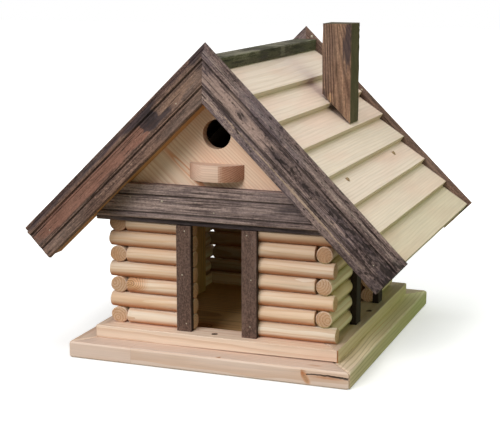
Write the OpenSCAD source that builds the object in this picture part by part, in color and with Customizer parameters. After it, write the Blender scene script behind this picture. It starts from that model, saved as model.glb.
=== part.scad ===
// Log cabin bird feeder with a nesting loft, one room with doorways on three sides.
// Origin on the ground under the middle of the base, front towards -Y, +Z up.

/* [Base] */
// Thickness of the lower tier's boards
base_t = 20; // [14:1:30]
// Ledge of the lower tier along each side of the upper one
base_ledge_side = 22.5; // [15:0.5:40]
// Ledge of the lower tier along the front and back of the upper one
base_ledge_front = 28; // [15:0.5:45]
// Thickness of the upper tier's boards
step_t = 15; // [10:1:24]
// Ledge of the upper tier outside each side wall
step_ledge_side = 14; // [12:0.5:25]
// Ledge of the upper tier outside the front and back walls
step_ledge_front = 17; // [10:0.5:25]
// Thickness of the floor panel, flush with the lower tier
floor_t = 12; // [8:1:14]
// How far the floor panel runs on under the upper tier
floor_tuck = 8; // [3:0.5:14]

/* [Log walls] */
// Distance between the centrelines of the two side walls
wall_w = 258; // [240:1:264]
// Distance between the centrelines of the front and back walls
wall_d = 277; // [260:1:290]
// Diameter of a log
log_d = 19; // [16:0.5:21]
// Number of log courses below the gable
log_rows = 7; // [5:1:8]
// Number of whole log courses on each side wall above the doorways
plate_rows = 2; // [1:1:2]
// How far a front or back log runs on past the side wall's centreline
front_log_end = 16; // [12:0.5:18]
// How far a side log runs on past the front wall's centreline
side_log_end = 5.6; // [2:0.1:8]
// Clearance between neighbouring curved logs
log_clear = 0.2; // [0.1:0.05:0.4]

/* [Doorways] */
// Clear width of the front doorway
front_door_w = 63.5; // [50:0.5:90]
// Clear width of each side doorway
side_door_w = 86; // [60:1:110]
// How far the side doorways sit behind the middle of the house
side_door_back = 5; // [0:1:12]
// Width of a door post
post_w = 18.7; // [14:0.1:24]
// Thickness of a door post
post_t = 8; // [6:0.5:12]
// Depth of the flat planed on the logs behind each post
post_seat = 2.6; // [1:0.1:4]
// Width of the inner battens that tie the cut side logs
batten_w = 38; // [24:1:44]
// Thickness of the inner battens
batten_t = 8; // [5:0.5:12]

/* [Gables and loft] */
// Thickness of the gable panels
gable_t = 12; // [8:1:16]
// Thickness of the loft floor
loft_t = 8; // [5:0.5:12]
// Diameter of the entrance hole
hole_d = 34.5; // [25:0.5:40]
// Distance from the perch's top up to the hole's centre
hole_over_perch = 33.5; // [26:0.5:40]
// Width of the perch where it meets the gable
perch_w = 68; // [60:1:80]
// How far the perch stands out
perch_d = 21; // [16:1:28]
// Height of the perch
perch_h = 19; // [14:1:24]
// Radius of the perch's rounded lower corners
perch_corner = 6; // [3:0.5:9]
// Gap between the lintel's top and the underside of the perch
perch_over_lintel = 8.6; // [2:0.2:14]
// How far the lintel boards reach below the wall top
lintel_drop = 4.5; // [0:0.5:10]
// How far the lintel boards reach past the front logs' ends
lintel_over = 10; // [4:0.5:14]

/* [Roof] */
// Pitch of the roof in degrees
roof_pitch = 44.4; // [42:0.1:47]
// Gap between the topmost side logs and the underside of the roof
roof_gap = 8.3; // [1:0.1:20]
// How far the roof reaches out past each side wall's face, measured level
eave_over = 96.6; // [80:0.2:110]
// Depth of the rafters, from gable to bargeboard
rafter_d = 32; // [20:1:45]
// How deep the rafters reach below the bargeboards' top edge
rafter_drop = 44; // [38:0.5:47]
// Width of a bargeboard or lintel board
trim_w = 47.9; // [47:0.1:52]
// Thickness of a bargeboard or lintel board
trim_t = 11; // [8:0.5:14]
// Width of the thin tongue along the trim's edge
tongue_w = 5.3; // [3:0.1:7]
// Thickness of that tongue
tongue_t = 3; // [2:0.1:5]
// Width of the slope from the tongue up to the face
tongue_slope = 3.2; // [1:0.1:4]
// Distance from the trim's edge to its first groove
groove_near = 13.5; // [12:0.1:18]
// Distance from the trim's edge to its second groove
groove_far = 34.6; // [28:0.1:40]
// Width of a groove
groove_w = 3; // [1.4:0.1:4]
// Depth of a groove
groove_deep = 2.2; // [1:0.1:3]
// Thickness of a roof board
board_t = 8; // [6:0.5:9]
// Length of slope that each roof board leaves showing
board_step = 41.5; // [36:0.1:50]
// How far each roof board runs under the one above
board_lap = 8.5; // [6:0.5:12]
// Distance of the roof boards' lower edges below the bargeboards' top edge
board_sink = 5; // [3:0.5:8]
// Distance of the eave board's edge back from the bargeboards' ends
eave_back = 3; // [0:0.5:8]
// Width of the ridge batten
ridge_w = 29.4; // [26:0.2:32]
// Height of the ridge batten
ridge_t = 14; // [10:0.5:20]

/* [Chimney] */
// Side of the square chimney block
chimney_w = 38; // [30:1:45]
// Distance of the chimney's middle to the right of the ridge
chimney_x = 88.5; // [75:0.5:95]
// Distance of the chimney's middle behind the middle of the house
chimney_y = 50; // [0:1:100]
// Height of the chimney's top above the bargeboards' peak
chimney_rise = 11.8; // [0:0.1:40]

/* [Hidden] */
$fn = 64;

// Clearance between pieces that only just meet
seat_clear = 0.2;
// How far the gables stand proud of the logs, so that the lintels clear them
gable_proud = 0.5;
// How far a cutting shape runs on past what it cuts
cut_over = 1;
// More than the size of the whole feeder, for cutting shapes
far = 1000;

wall_x = wall_w / 2;
wall_y = wall_d / 2;
log_r = log_d / 2;
step_top = base_t + step_t;
wall_top = step_top + log_rows * log_d;
plate_top = wall_top + plate_rows * log_d;

// Faces of the house, measured from its middle
front_face = wall_y + log_r;
side_face = wall_x + log_r;
inner_x = wall_x - log_r;
inner_y = wall_y - log_r;
post_back_y = front_face - post_seat;
post_back_x = side_face - post_seat;
gable_y = front_face + gable_proud;
barge_y = gable_y + rafter_d;

// Edges of the doorways
front_post_x = front_door_w / 2;
side_door_y0 = side_door_back - side_door_w / 2;
side_door_y1 = side_door_back + side_door_w / 2;

// Heights on the front, from the lintel's foot to the entrance hole
lintel_foot = wall_top - lintel_drop;
post_top = lintel_foot - seat_clear;
perch_z = lintel_foot + trim_w + perch_over_lintel;
hole_z = perch_z + perch_h + hole_over_perch;

// Outsides of the two tiers
step_w = 2 * (side_face + step_ledge_side);
step_d = 2 * (front_face + step_ledge_front);
base_w = step_w + 2 * base_ledge_side;
base_d = step_d + 2 * base_ledge_front;
floor_w = 2 * (inner_x + floor_tuck);
floor_d = 2 * (inner_y + floor_tuck);

// Roof slope: run and fall for each millimetre along it
slope_run = cos(roof_pitch);
slope_fall = sin(roof_pitch);
slope_len = (side_face + eave_over) / slope_run;
lap_tilt = atan(board_t / board_step);
board_w = board_step + board_lap;
eave_s = slope_len - eave_back;
board_n = round((eave_s - ridge_w) / board_step);
// Depth below the bargeboards' top edge that the lapped boards reach
roof_depth = board_sink + board_w * sin(lap_tilt) + board_t * cos(lap_tilt);
rafter_top = roof_depth + seat_clear;
// Height at the middle of the house where the rafters' top edges meet, set by
// the topmost side logs
rafter_peak = plate_top - log_r + (log_r + roof_gap + wall_x * slope_fall) / slope_run;
// Height of the bargeboards' peak
peak_h = rafter_peak + rafter_top / slope_run;
ridge_z = rafter_peak + seat_clear;
// Distance down the slope of each board's lower edge
function board_foot(i) = eave_s - (board_n - 1 - i) * board_step;
// The top board is narrower, so that it just tucks under the ridge batten
top_foot_z = peak_h - board_foot(0) * slope_fall - board_sink * slope_run;
top_board_w = (rafter_peak - top_foot_z) / sin(roof_pitch - lap_tilt);

pine = [0.87, 0.72, 0.52];
pale_pine = [0.90, 0.80, 0.62];
treated_pine = [0.83, 0.80, 0.62];
dark_stain = [0.30, 0.24, 0.20];

// ---- Base: two tiers of mitred boards ----

// One board of a mitred frame of size w by d round an opening of size in_w by
// in_d, along the front edge
module mitred_board(w, d, in_w, in_d, t) {
    linear_extrude(t)
        polygon([
            [-w / 2, -d / 2], [w / 2, -d / 2], [in_w / 2, -in_d / 2], [-in_w / 2, -in_d / 2]
        ]);
}

module lower_front() {
    mitred_board(base_w, base_d, floor_w, floor_d, base_t);
}

module lower_side() {
    rotate([0, 0, 90])
        mitred_board(base_d, base_w, floor_d, floor_w, base_t);
}

module lower_front_board() {
    color(pale_pine) lower_front();
}

module lower_back_board() {
    color(pale_pine) mirror([0, 1, 0]) lower_front();
}

module lower_right_board() {
    color(pale_pine) lower_side();
}

module lower_left_board() {
    color(pale_pine) mirror([1, 0, 0]) lower_side();
}

module floor_panel() {
    color(pine)
        translate([-floor_w / 2, -floor_d / 2, base_t - floor_t])
        cube([floor_w, floor_d, floor_t]);
}

// The upper tier's inner edges stand flush with the inside of the logs
module upper_front() {
    translate([0, 0, base_t])
        mitred_board(step_w, step_d, 2 * inner_x, 2 * inner_y, step_t);
}

module upper_side() {
    translate([0, 0, base_t])
        rotate([0, 0, 90])
        mitred_board(step_d, step_w, 2 * inner_y, 2 * inner_x, step_t);
}

module upper_front_board() {
    color(pale_pine) upper_front();
}

module upper_back_board() {
    color(pale_pine) mirror([0, 1, 0]) upper_front();
}

module upper_right_board() {
    color(pale_pine) upper_side();
}

module upper_left_board() {
    color(pale_pine) mirror([1, 0, 0]) upper_side();
}

// ---- Log walls: courses that run through at one corner and butt at the other ----

function row_z(row) = step_top + (row + 0.5) * log_d;
function runs_right(row) = row % 2 == 0;

// A log along X between two ends
module log_x(x0, x1, row) {
    translate([x0, 0, row_z(row)])
        rotate([0, 90, 0])
        cylinder(d = log_d - log_clear, h = x1 - x0);
}

// A log along Y between two ends
module log_y(y0, y1, row) {
    translate([0, y1, row_z(row)])
        rotate([90, 0, 0])
        cylinder(d = log_d - log_clear, h = y1 - y0);
}

// Ends of a front course: through at one corner, butted on the side log at the other
function front_x0(row) = runs_right(row) ? -inner_x + log_clear : -wall_x - front_log_end;
function front_x1(row) = runs_right(row) ? wall_x + front_log_end : inner_x - log_clear;
// How far a side course reaches from the middle, past its corner or butted there
function side_reach(through) = through ? wall_y + side_log_end : inner_y - log_clear;

// Planed flat that takes a post on the front wall, the post's inner edge at x
module front_post_flat(x) {
    translate([x, -far, 0]) cube([post_w, far - post_back_y, far]);
}

module side_post_flat(y) {
    translate([post_back_x, y, 0]) cube([far, post_w, far]);
}

module front_logs_right() {
    color(pine)
        difference() {
            translate([0, -wall_y, 0])
                for (row = [0 : log_rows - 1])
                    log_x(front_post_x, front_x1(row), row);
            front_post_flat(front_post_x);
        }
}

module front_logs_left() {
    color(pine)
        difference() {
            translate([0, -wall_y, 0])
                for (row = [0 : log_rows - 1])
                    log_x(front_x0(row), -front_post_x, row);
            front_post_flat(-front_post_x - post_w);
        }
}

module back_logs() {
    color(pine)
        translate([0, wall_y, 0])
        for (row = [0 : log_rows - 1])
            log_x(-front_x1(row), -front_x0(row), row);
}

// A side wall in front of its doorway, drawn on the right. The two side walls
// differ in which courses run through at the front corner
module side_wall_front(even_through) {
    difference() {
        translate([wall_x, 0, 0])
            for (row = [0 : log_rows - 1])
                log_y(-side_reach(runs_right(row) == even_through), side_door_y0, row);
        side_post_flat(side_door_y0 - post_w);
    }
}

module side_wall_back(even_through) {
    difference() {
        translate([wall_x, 0, 0])
            for (row = [0 : log_rows - 1])
                log_y(side_door_y1, side_reach(runs_right(row) == even_through), row);
        side_post_flat(side_door_y1);
    }
}

// Whole courses over the side doorways, between the gables
module plate_logs() {
    translate([wall_x, 0, 0])
        for (row = [log_rows : log_rows + plate_rows - 1])
            log_y(-gable_y + gable_t + log_clear, gable_y - gable_t - log_clear, row);
}

module right_logs_front() {
    color(pine) side_wall_front(false);
}

module right_logs_back() {
    color(pine) side_wall_back(true);
}

module right_plate_logs() {
    color(pine) plate_logs();
}

module left_logs_front() {
    color(pine) mirror([1, 0, 0]) side_wall_front(true);
}

module left_logs_back() {
    color(pine) mirror([1, 0, 0]) side_wall_back(false);
}

module left_plate_logs() {
    color(pine) mirror([1, 0, 0]) plate_logs();
}

// ---- Doorways: stained posts outside, plain battens inside ----

module front_post() {
    translate([front_post_x, -post_back_y - post_t, step_top])
        cube([post_w, post_t, post_top - step_top]);
}

module side_post(y) {
    translate([post_back_x, y, step_top])
        cube([post_t, post_w, wall_top - step_top]);
}

module front_post_right() {
    color(dark_stain) front_post();
}

module front_post_left() {
    color(dark_stain) mirror([1, 0, 0]) front_post();
}

module right_post_front() {
    color(dark_stain) side_post(side_door_y0 - post_w);
}

module right_post_back() {
    color(dark_stain) side_post(side_door_y1);
}

module left_post_front() {
    color(dark_stain) mirror([1, 0, 0]) side_post(side_door_y0 - post_w);
}

module left_post_back() {
    color(dark_stain) mirror([1, 0, 0]) side_post(side_door_y1);
}

module inner_battens() {
    for (y = [side_door_y0 - batten_w, side_door_y1])
        translate([inner_x - batten_t, y, base_t])
            cube([batten_t, batten_w, wall_top - base_t]);
}

module right_inner_battens() {
    color(pine) inner_battens();
}

module left_inner_battens() {
    color(pine) mirror([1, 0, 0]) inner_battens();
}

// ---- Loft: floor, gables and perch ----

module loft_floor() {
    color(pine)
        translate([-inner_x, -gable_y + gable_t, wall_top])
        cube([2 * inner_x, 2 * (gable_y - gable_t), loft_t]);
}

// Outline of a gable from the wall top up to the underside of the roof
module gable_outline() {
    half_w = wall_x + front_log_end;
    shoulder = rafter_peak - half_w * slope_fall / slope_run;
    polygon([
        [-half_w, wall_top], [half_w, wall_top], [half_w, shoulder],
        [0, rafter_peak], [-half_w, shoulder]
    ]);
}

// Stands a flat outline upright with its front face at -y
module upright(y, t) {
    translate([0, -y + t, 0])
        rotate([90, 0, 0])
        linear_extrude(t)
        children();
}

module front_gable() {
    color(pine)
        upright(gable_y, gable_t)
        difference() {
            gable_outline();
            translate([0, hole_z]) circle(d = hole_d);
        }
}

module back_gable() {
    color(pine)
        mirror([0, 1, 0])
        upright(gable_y, gable_t)
        gable_outline();
}

// Half disc ends joined by a straight front, seen from above
module perch_plan() {
    intersection() {
        union() {
            for (side = [-1, 1])
                translate([side * (perch_w / 2 - perch_d), 0]) circle(perch_d);
            translate([-perch_w / 2 + perch_d, -perch_d])
                square([perch_w - 2 * perch_d, perch_d]);
        }
        translate([-perch_w / 2, -perch_d]) square([perch_w, perch_d]);
    }
}

// Front view of the perch, with rounded lower corners
module perch_front() {
    translate([-perch_w / 2, perch_corner])
        square([perch_w, perch_h - perch_corner]);
    translate([-perch_w / 2 + perch_corner, 0])
        square([perch_w - 2 * perch_corner, perch_h]);
    for (side = [-1, 1])
        translate([side * (perch_w / 2 - perch_corner), perch_corner]) circle(perch_corner);
}

module perch() {
    color(pale_pine)
        translate([0, -gable_y, perch_z])
        intersection() {
            linear_extrude(perch_h) perch_plan();
            rotate([90, 0, 0]) linear_extrude(perch_d) perch_front();
        }
}

// ---- Trim: one moulded board profile for lintels and bargeboards ----

// Cut across the trim board: x runs through its thickness from the back face
// to the front at -trim_t, y runs from the tongue's edge at 0 down to -trim_w
module trim_profile() {
    difference() {
        polygon([
            [0, 0], [-tongue_t, 0], [-tongue_t, -tongue_w],
            [-trim_t, -tongue_w - tongue_slope], [-trim_t, -trim_w], [0, -trim_w]
        ]);
        for (groove = [groove_near, groove_far])
            translate([-trim_t, -groove])
                polygon([
                    [groove_deep, 0], [0, groove_w / 2], [-cut_over, groove_w / 2],
                    [-cut_over, -groove_w / 2], [0, -groove_w / 2]
                ]);
    }
}

// The lintel wears the profile upside down and is cut to the rafters' undersides
module lintel() {
    half_w = wall_x + front_log_end + lintel_over;
    under_rafters = peak_h - rafter_drop / slope_run - seat_clear;
    far_fall = far * slope_fall / slope_run;
    intersection() {
        translate([-half_w, -gable_y, lintel_foot])
            mirror([0, 0, 1])
            rotate([90, 0, 90])
            linear_extrude(2 * half_w)
            trim_profile();
        upright(far / 2, far)
            polygon([
                [-far, under_rafters - far_fall], [0, under_rafters], [far, under_rafters - far_fall]
            ]);
    }
}

module front_lintel() {
    color(dark_stain) lintel();
}

module back_lintel() {
    color(dark_stain) mirror([0, 1, 0]) lintel();
}

// ---- Roof ----

// Turns a section whose x runs down the right slope and whose y stands square
// to it into a length of roof between y0 and y1
module along_ridge(y0, y1) {
    translate([0, y1, peak_h])
        rotate([0, roof_pitch, 0])
        rotate([90, 0, 0])
        linear_extrude(y1 - y0)
        children();
}

module right_half() {
    translate([0, -far / 2, 0]) cube([far, far, far]);
}

// Rafter on the right of the front gable
module rafter() {
    intersection() {
        along_ridge(-barge_y, -gable_y)
            translate([0, -rafter_drop])
            square([slope_len, rafter_drop - rafter_top]);
        right_half();
    }
}

// Bargeboard on the right of the front
module bargeboard() {
    intersection() {
        translate([0, -barge_y, peak_h])
            rotate([0, roof_pitch, 0])
            rotate([90, 0, 90])
            linear_extrude(slope_len)
            trim_profile();
        right_half();
    }
}

module front_rafter_right() {
    color(pine) rafter();
}

module front_rafter_left() {
    color(pine) mirror([1, 0, 0]) rafter();
}

module back_rafter_right() {
    color(pine) mirror([0, 1, 0]) rafter();
}

module back_rafter_left() {
    color(pine) mirror([0, 1, 0]) mirror([1, 0, 0]) rafter();
}

module front_bargeboard_right() {
    color(dark_stain) bargeboard();
}

module front_bargeboard_left() {
    color(dark_stain) mirror([1, 0, 0]) bargeboard();
}

module back_bargeboard_right() {
    color(dark_stain) mirror([0, 1, 0]) bargeboard();
}

module back_bargeboard_left() {
    color(dark_stain) mirror([0, 1, 0]) mirror([1, 0, 0]) bargeboard();
}

// Section of one lapped board whose lower edge lies at s down the slope
module board_section(s, w) {
    translate([s, -board_sink])
        rotate(lap_tilt)
        translate([-w, -board_t])
        square([w, board_t]);
}

module roof_boards() {
    for (i = [0 : board_n - 1])
        along_ridge(-barge_y + seat_clear, barge_y - seat_clear)
            board_section(board_foot(i), i == 0 ? top_board_w : board_w - seat_clear);
}

module right_roof_boards() {
    color(treated_pine) roof_boards();
}

module left_roof_boards() {
    color(treated_pine) mirror([1, 0, 0]) roof_boards();
}

module ridge_batten() {
    color(dark_stain)
        translate([-ridge_w / 2, -barge_y, ridge_z])
        cube([ridge_w, 2 * barge_y, ridge_t]);
}

// Square block, its foot cut to the roof's slope
module chimney() {
    color(dark_stain)
        intersection() {
            translate([chimney_x - chimney_w / 2, chimney_y - chimney_w / 2, 0])
                cube([chimney_w, chimney_w, peak_h + chimney_rise]);
            along_ridge(-far / 2, far / 2)
                translate([-far / 2, -board_sink + seat_clear]) square([far, far]);
        }
}

lower_front_board();
lower_back_board();
lower_left_board();
lower_right_board();
floor_panel();
upper_front_board();
upper_back_board();
upper_left_board();
upper_right_board();
front_logs_left();
front_logs_right();
back_logs();
left_logs_front();
left_logs_back();
left_plate_logs();
right_logs_front();
right_logs_back();
right_plate_logs();
front_post_left();
front_post_right();
left_post_front();
left_post_back();
right_post_front();
right_post_back();
left_inner_battens();
right_inner_battens();
loft_floor();
front_gable();
back_gable();
perch();
front_lintel();
back_lintel();
front_rafter_left();
front_rafter_right();
back_rafter_left();
back_rafter_right();
left_roof_boards();
right_roof_boards();
front_bargeboard_left();
front_bargeboard_right();
back_bargeboard_left();
back_bargeboard_right();
ridge_batten();
chimney();
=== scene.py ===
import math
import random

import bmesh
import bpy
from mathutils import Matrix, Vector, noise


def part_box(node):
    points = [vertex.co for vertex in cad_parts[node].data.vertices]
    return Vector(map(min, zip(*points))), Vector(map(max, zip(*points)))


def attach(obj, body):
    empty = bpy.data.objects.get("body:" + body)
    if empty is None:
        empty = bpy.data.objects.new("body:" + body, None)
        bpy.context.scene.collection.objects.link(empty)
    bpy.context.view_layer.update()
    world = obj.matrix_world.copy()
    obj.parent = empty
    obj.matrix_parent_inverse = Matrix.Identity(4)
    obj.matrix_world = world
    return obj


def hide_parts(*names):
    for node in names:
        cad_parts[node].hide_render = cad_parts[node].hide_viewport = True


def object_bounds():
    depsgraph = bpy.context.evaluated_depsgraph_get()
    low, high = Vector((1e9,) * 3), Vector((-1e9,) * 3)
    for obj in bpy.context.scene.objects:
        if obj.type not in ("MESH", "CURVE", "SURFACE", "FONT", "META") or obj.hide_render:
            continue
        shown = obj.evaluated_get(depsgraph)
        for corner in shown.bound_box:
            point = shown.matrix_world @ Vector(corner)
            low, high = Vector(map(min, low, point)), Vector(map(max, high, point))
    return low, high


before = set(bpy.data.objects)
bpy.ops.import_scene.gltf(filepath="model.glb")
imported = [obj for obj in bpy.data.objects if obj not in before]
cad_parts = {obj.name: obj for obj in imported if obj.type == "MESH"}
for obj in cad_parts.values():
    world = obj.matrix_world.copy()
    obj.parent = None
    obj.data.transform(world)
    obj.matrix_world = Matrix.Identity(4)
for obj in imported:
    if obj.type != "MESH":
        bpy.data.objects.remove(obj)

# Log cabin bird feeder: planed pine logs and base, pale lapped roof, brown weathered trim.
# The feeder's front looks towards -Y, and everything is in metres.
mm = 0.001
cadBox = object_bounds()
chance = random.Random(41)


def linear(red, green, blue):
    # paint-card numbers, 0 to 255, to the light that they stand for
    parts = [c / 255 for c in (red, green, blue)]
    return tuple(c / 12.92 if c < 0.04045 else ((c + 0.055) / 1.055) ** 2.4 for c in parts)


class Wire:
    # an output socket that can be written in sums: 1 - mask, grain * 3 + 0.2

    def __init__(self, finish, socket):
        self.finish = finish
        self.socket = socket
        self.manyParts = socket.type in {"VECTOR", "RGBA"}

    def __add__(self, other):
        return self.finish.maths("ADD", self, other)

    def __sub__(self, other):
        return self.finish.maths("SUBTRACT", self, other)

    def __rsub__(self, other):
        return self.finish.maths("SUBTRACT", other, self)

    def __mul__(self, other):
        return self.finish.maths("MULTIPLY", self, other)

    def __truediv__(self, other):
        return self.finish.maths("DIVIDE", self, other)

    __radd__, __rmul__ = __add__, __mul__


class Nodes:
    # a node tree, and the ways to add nodes to it

    def __init__(self, tree):
        self.tree = tree

    def feed(self, socket, value):
        if isinstance(value, Wire):
            self.tree.links.new(value.socket, socket)
        elif socket.type == "RGBA":
            socket.default_value = (*value, 1)
        elif socket.type == "VECTOR" and not isinstance(value, tuple):
            socket.default_value = (value, value, value)
        else:
            socket.default_value = value

    def node(self, kind, settings=None, values=None, out=0):
        made = self.tree.nodes.new(kind)
        for key, value in (settings or {}).items():
            setattr(made, key, value)
        for key, value in (values or {}).items():
            self.feed(made.inputs[key], value)
        if isinstance(out, tuple):
            return [Wire(self, made.outputs[part]) for part in out]
        return Wire(self, made.outputs[out])

    def maths(self, operation, first, second=0.0):
        manyParts = any(isinstance(x, tuple) or getattr(x, "manyParts", False) for x in (first, second))
        kind = "ShaderNodeVectorMath" if manyParts else "ShaderNodeMath"
        return self.node(kind, {"operation": operation}, {0: first, 1: second})

    def attribute(self, name, out="Vector"):
        return self.node("ShaderNodeAttribute", {"attribute_name": name}, out=out)

    def parts(self, vector):
        return self.node("ShaderNodeSeparateXYZ", values={0: vector}, out=(0, 1, 2))

    def joined(self, x, y, z):
        return self.node("ShaderNodeCombineXYZ", values={0: x, 1: y, 2: z})

    def cloud(self, place, detail=2.0, rough=0.5):
        values = {"Vector": place, "Scale": 1.0, "Detail": detail, "Roughness": rough}
        return self.node("ShaderNodeTexNoise", values=values)

    def blend(self, share, first, second, how="MIX"):
        settings = {"data_type": "RGBA", "blend_type": how}
        return self.node("ShaderNodeMix", settings, {0: share, 6: first, 7: second}, out=2)

    def rise(self, value, low, high):
        # 0 below low, 1 above high, smooth between them
        settings = {"interpolation_type": "SMOOTHSTEP"}
        return self.node("ShaderNodeMapRange", settings, {"Value": value, "From Min": low, "From Max": high})

    def root(self, value):
        return self.node("ShaderNodeMath", {"operation": "SQRT"}, {0: value})

    def saw(self, value):
        return self.node("ShaderNodeMath", {"operation": "FRACT"}, {0: value})

    def fibres(self, place, along, across, detail=2.0, rough=0.5):
        # noise drawn out along the wood: how many to the metre lengthwise, and across it both ways
        lengthwise, *sideways = place
        point = self.joined(lengthwise * along, sideways[0] * across, sideways[1] * across)
        return self.cloud(point, detail, rough)


class Finish(Nodes):
    # one material: its node tree, its looks and the colour built up so far

    def __init__(self, name, looks=None):
        # colours go in as paint-card numbers, and the nodes take the light that they stand for
        looks = looks or {}
        self.looks = {key: linear(*look) if isinstance(look, tuple) else look for key, look in looks.items()}
        self.material = bpy.data.materials.new(name)
        self.material.use_nodes = True
        super().__init__(self.material.node_tree)
        self.skin = self.tree.nodes["Principled BSDF"]

    def coat(self, values):
        for key, value in values.items():
            self.feed(self.skin.inputs[key], value)

    def tint(self, share, key, how="MIX"):
        # lays one of the looks' colours over what is there so far
        self.colour = self.blend(share, self.colour, self.looks[key], how)

    def dent(self, height, strength, depth):
        # roughens the surface: depth is in metres
        values = {"Strength": strength, "Distance": depth, "Height": height}
        self.coat({"Normal": self.node("ShaderNodeBump", values=values)})


def growWood(finish):
    # rings round the pith, fibres along the board and a knot, from the attributes that each board carries
    looks = finish.looks
    along, across, through = finish.parts(finish.attribute("grain"))
    knotAlong, knotAcross, knotSize = finish.parts(finish.attribute("knot"))
    knotCore = knotSize * knotSize
    knotAlong = knotAlong - knotAcross * looks["knotLean"]
    knotAway = knotAlong * knotAlong * looks["knotStretch"] + knotAcross * knotAcross
    knotShare = knotAway / knotCore
    around = across - knotAcross * knotCore / (knotAway + knotCore * 0.35)
    place = along, around, through
    wander = finish.fibres(place, 5, 20)
    ripple = finish.fibres(place, 22, 70, 1.0)
    pith = finish.root(around * around + through * through)
    pith = pith + along * looks["taper"] + (wander - 0.5) * looks["wander"] + (ripple - 0.5) * looks["ripple"]
    ring = finish.saw(pith / looks["ringGap"])
    late = finish.rise(ring, looks["lateFrom"], 0.97)
    fibre = finish.fibres(place, 9, 330, 3.0, 0.6)
    hair = finish.fibres(place, 26, 1250, 2.0, 0.6)
    patch = finish.fibres(place, 6, 26)
    inKnot = 1 - finish.rise(knotShare, 0.75, 1.15)
    knotHalo = (1 - finish.rise(knotShare, 0.6, looks["haloReach"])) * (1 - inKnot)
    knotRing = finish.saw(finish.root(knotShare) * 2.6 + (ripple - 0.5))
    speck = finish.fibres(place, 700, 700, 2.0, 0.6)
    return {
        "place": place, "late": late, "fibre": fibre, "hair": hair, "patch": patch, "speck": speck,
        "inKnot": inKnot, "knotHalo": knotHalo, "knotRing": knotRing,
    }


def pineFinish(name, looks):
    # planed pine: soft rings, fine fibres, a blush here and there
    finish = Finish(name, looks)
    wood, looks = growWood(finish), finish.looks
    tone, warmth, green = finish.parts(finish.attribute("tone"))
    endCut = finish.attribute("endCut", "Fac")
    arris = finish.attribute("arris", "Fac")
    lateShare = wood["late"] * looks["ringDepth"] * (1 + endCut * looks["endRings"])
    finish.colour = finish.blend(lateShare, looks["early"], looks["late"])
    blush = finish.rise(wood["patch"] + warmth * 0.18, 0.42, 0.72) * looks["blushDepth"]
    finish.tint(blush, "blush")
    # painted reflection: the green share of tone tints the wood towards the grass's green
    finish.tint(green, "green")
    grey = (wood["fibre"] - 0.5) * looks["fibreDepth"] + (wood["hair"] - 0.5) * looks["hairDepth"]
    finish.colour = finish.colour * (1 + grey + tone)
    speck = finish.rise(wood["speck"], 0.5, 0.72) * endCut * 0.5
    finish.tint(endCut * looks["endDepth"], "end", "MULTIPLY")
    finish.tint(speck, "endSpeck", "MULTIPLY")
    knot = finish.blend(finish.rise(wood["knotRing"], 0.3, 0.95), looks["knot"], looks["knotDark"])
    finish.tint(wood["knotHalo"] * looks["haloDepth"], "halo", "MULTIPLY")
    haloLine = wood["knotHalo"] * finish.rise(wood["knotRing"], 0.55, 0.95) * looks["haloRings"]
    finish.tint(haloLine, "knotDark")
    finish.colour = finish.blend(wood["inKnot"] * looks["knotDepth"], finish.colour, knot)
    finish.tint(arris * 0.25, "arris")
    # painted shade: points marked as facing down are darkened and warmed by the under colour; the same
    # attribute also warms the fresh mitre end
    under = finish.rise(finish.attribute("under", "Fac") + (wood["patch"] - 0.5) * 0.5, 0.0, 0.8)
    finish.tint(under * looks["underDepth"], "under", "MULTIPLY")
    rust, soot, _ = finish.parts(finish.attribute("stain"))
    blot = (wood["patch"] - 0.5) * 0.8 + (wood["fibre"] - 0.5) * 0.7
    finish.tint(finish.rise(rust + blot, 0.25, 0.75), "resin", "MULTIPLY")
    finish.tint(finish.rise(soot + blot, 0.25, 0.75), "soot")
    # painted shade: faces marked with shade are darkened towards the soot colour
    finish.tint(finish.attribute("shade", "Fac"), "soot")
    rough = looks["rough"] + (wood["fibre"] - 0.5) * 0.2 + wood["late"] * -0.08
    finish.coat({"Base Color": finish.colour, "Roughness": rough, "Specular IOR Level": looks["gloss"]})
    finish.dent(wood["late"] * 0.5 + wood["fibre"] * 0.8 + wood["hair"] * 0.35, looks["dent"], 0.35 * mm)
    return finish.material


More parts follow.
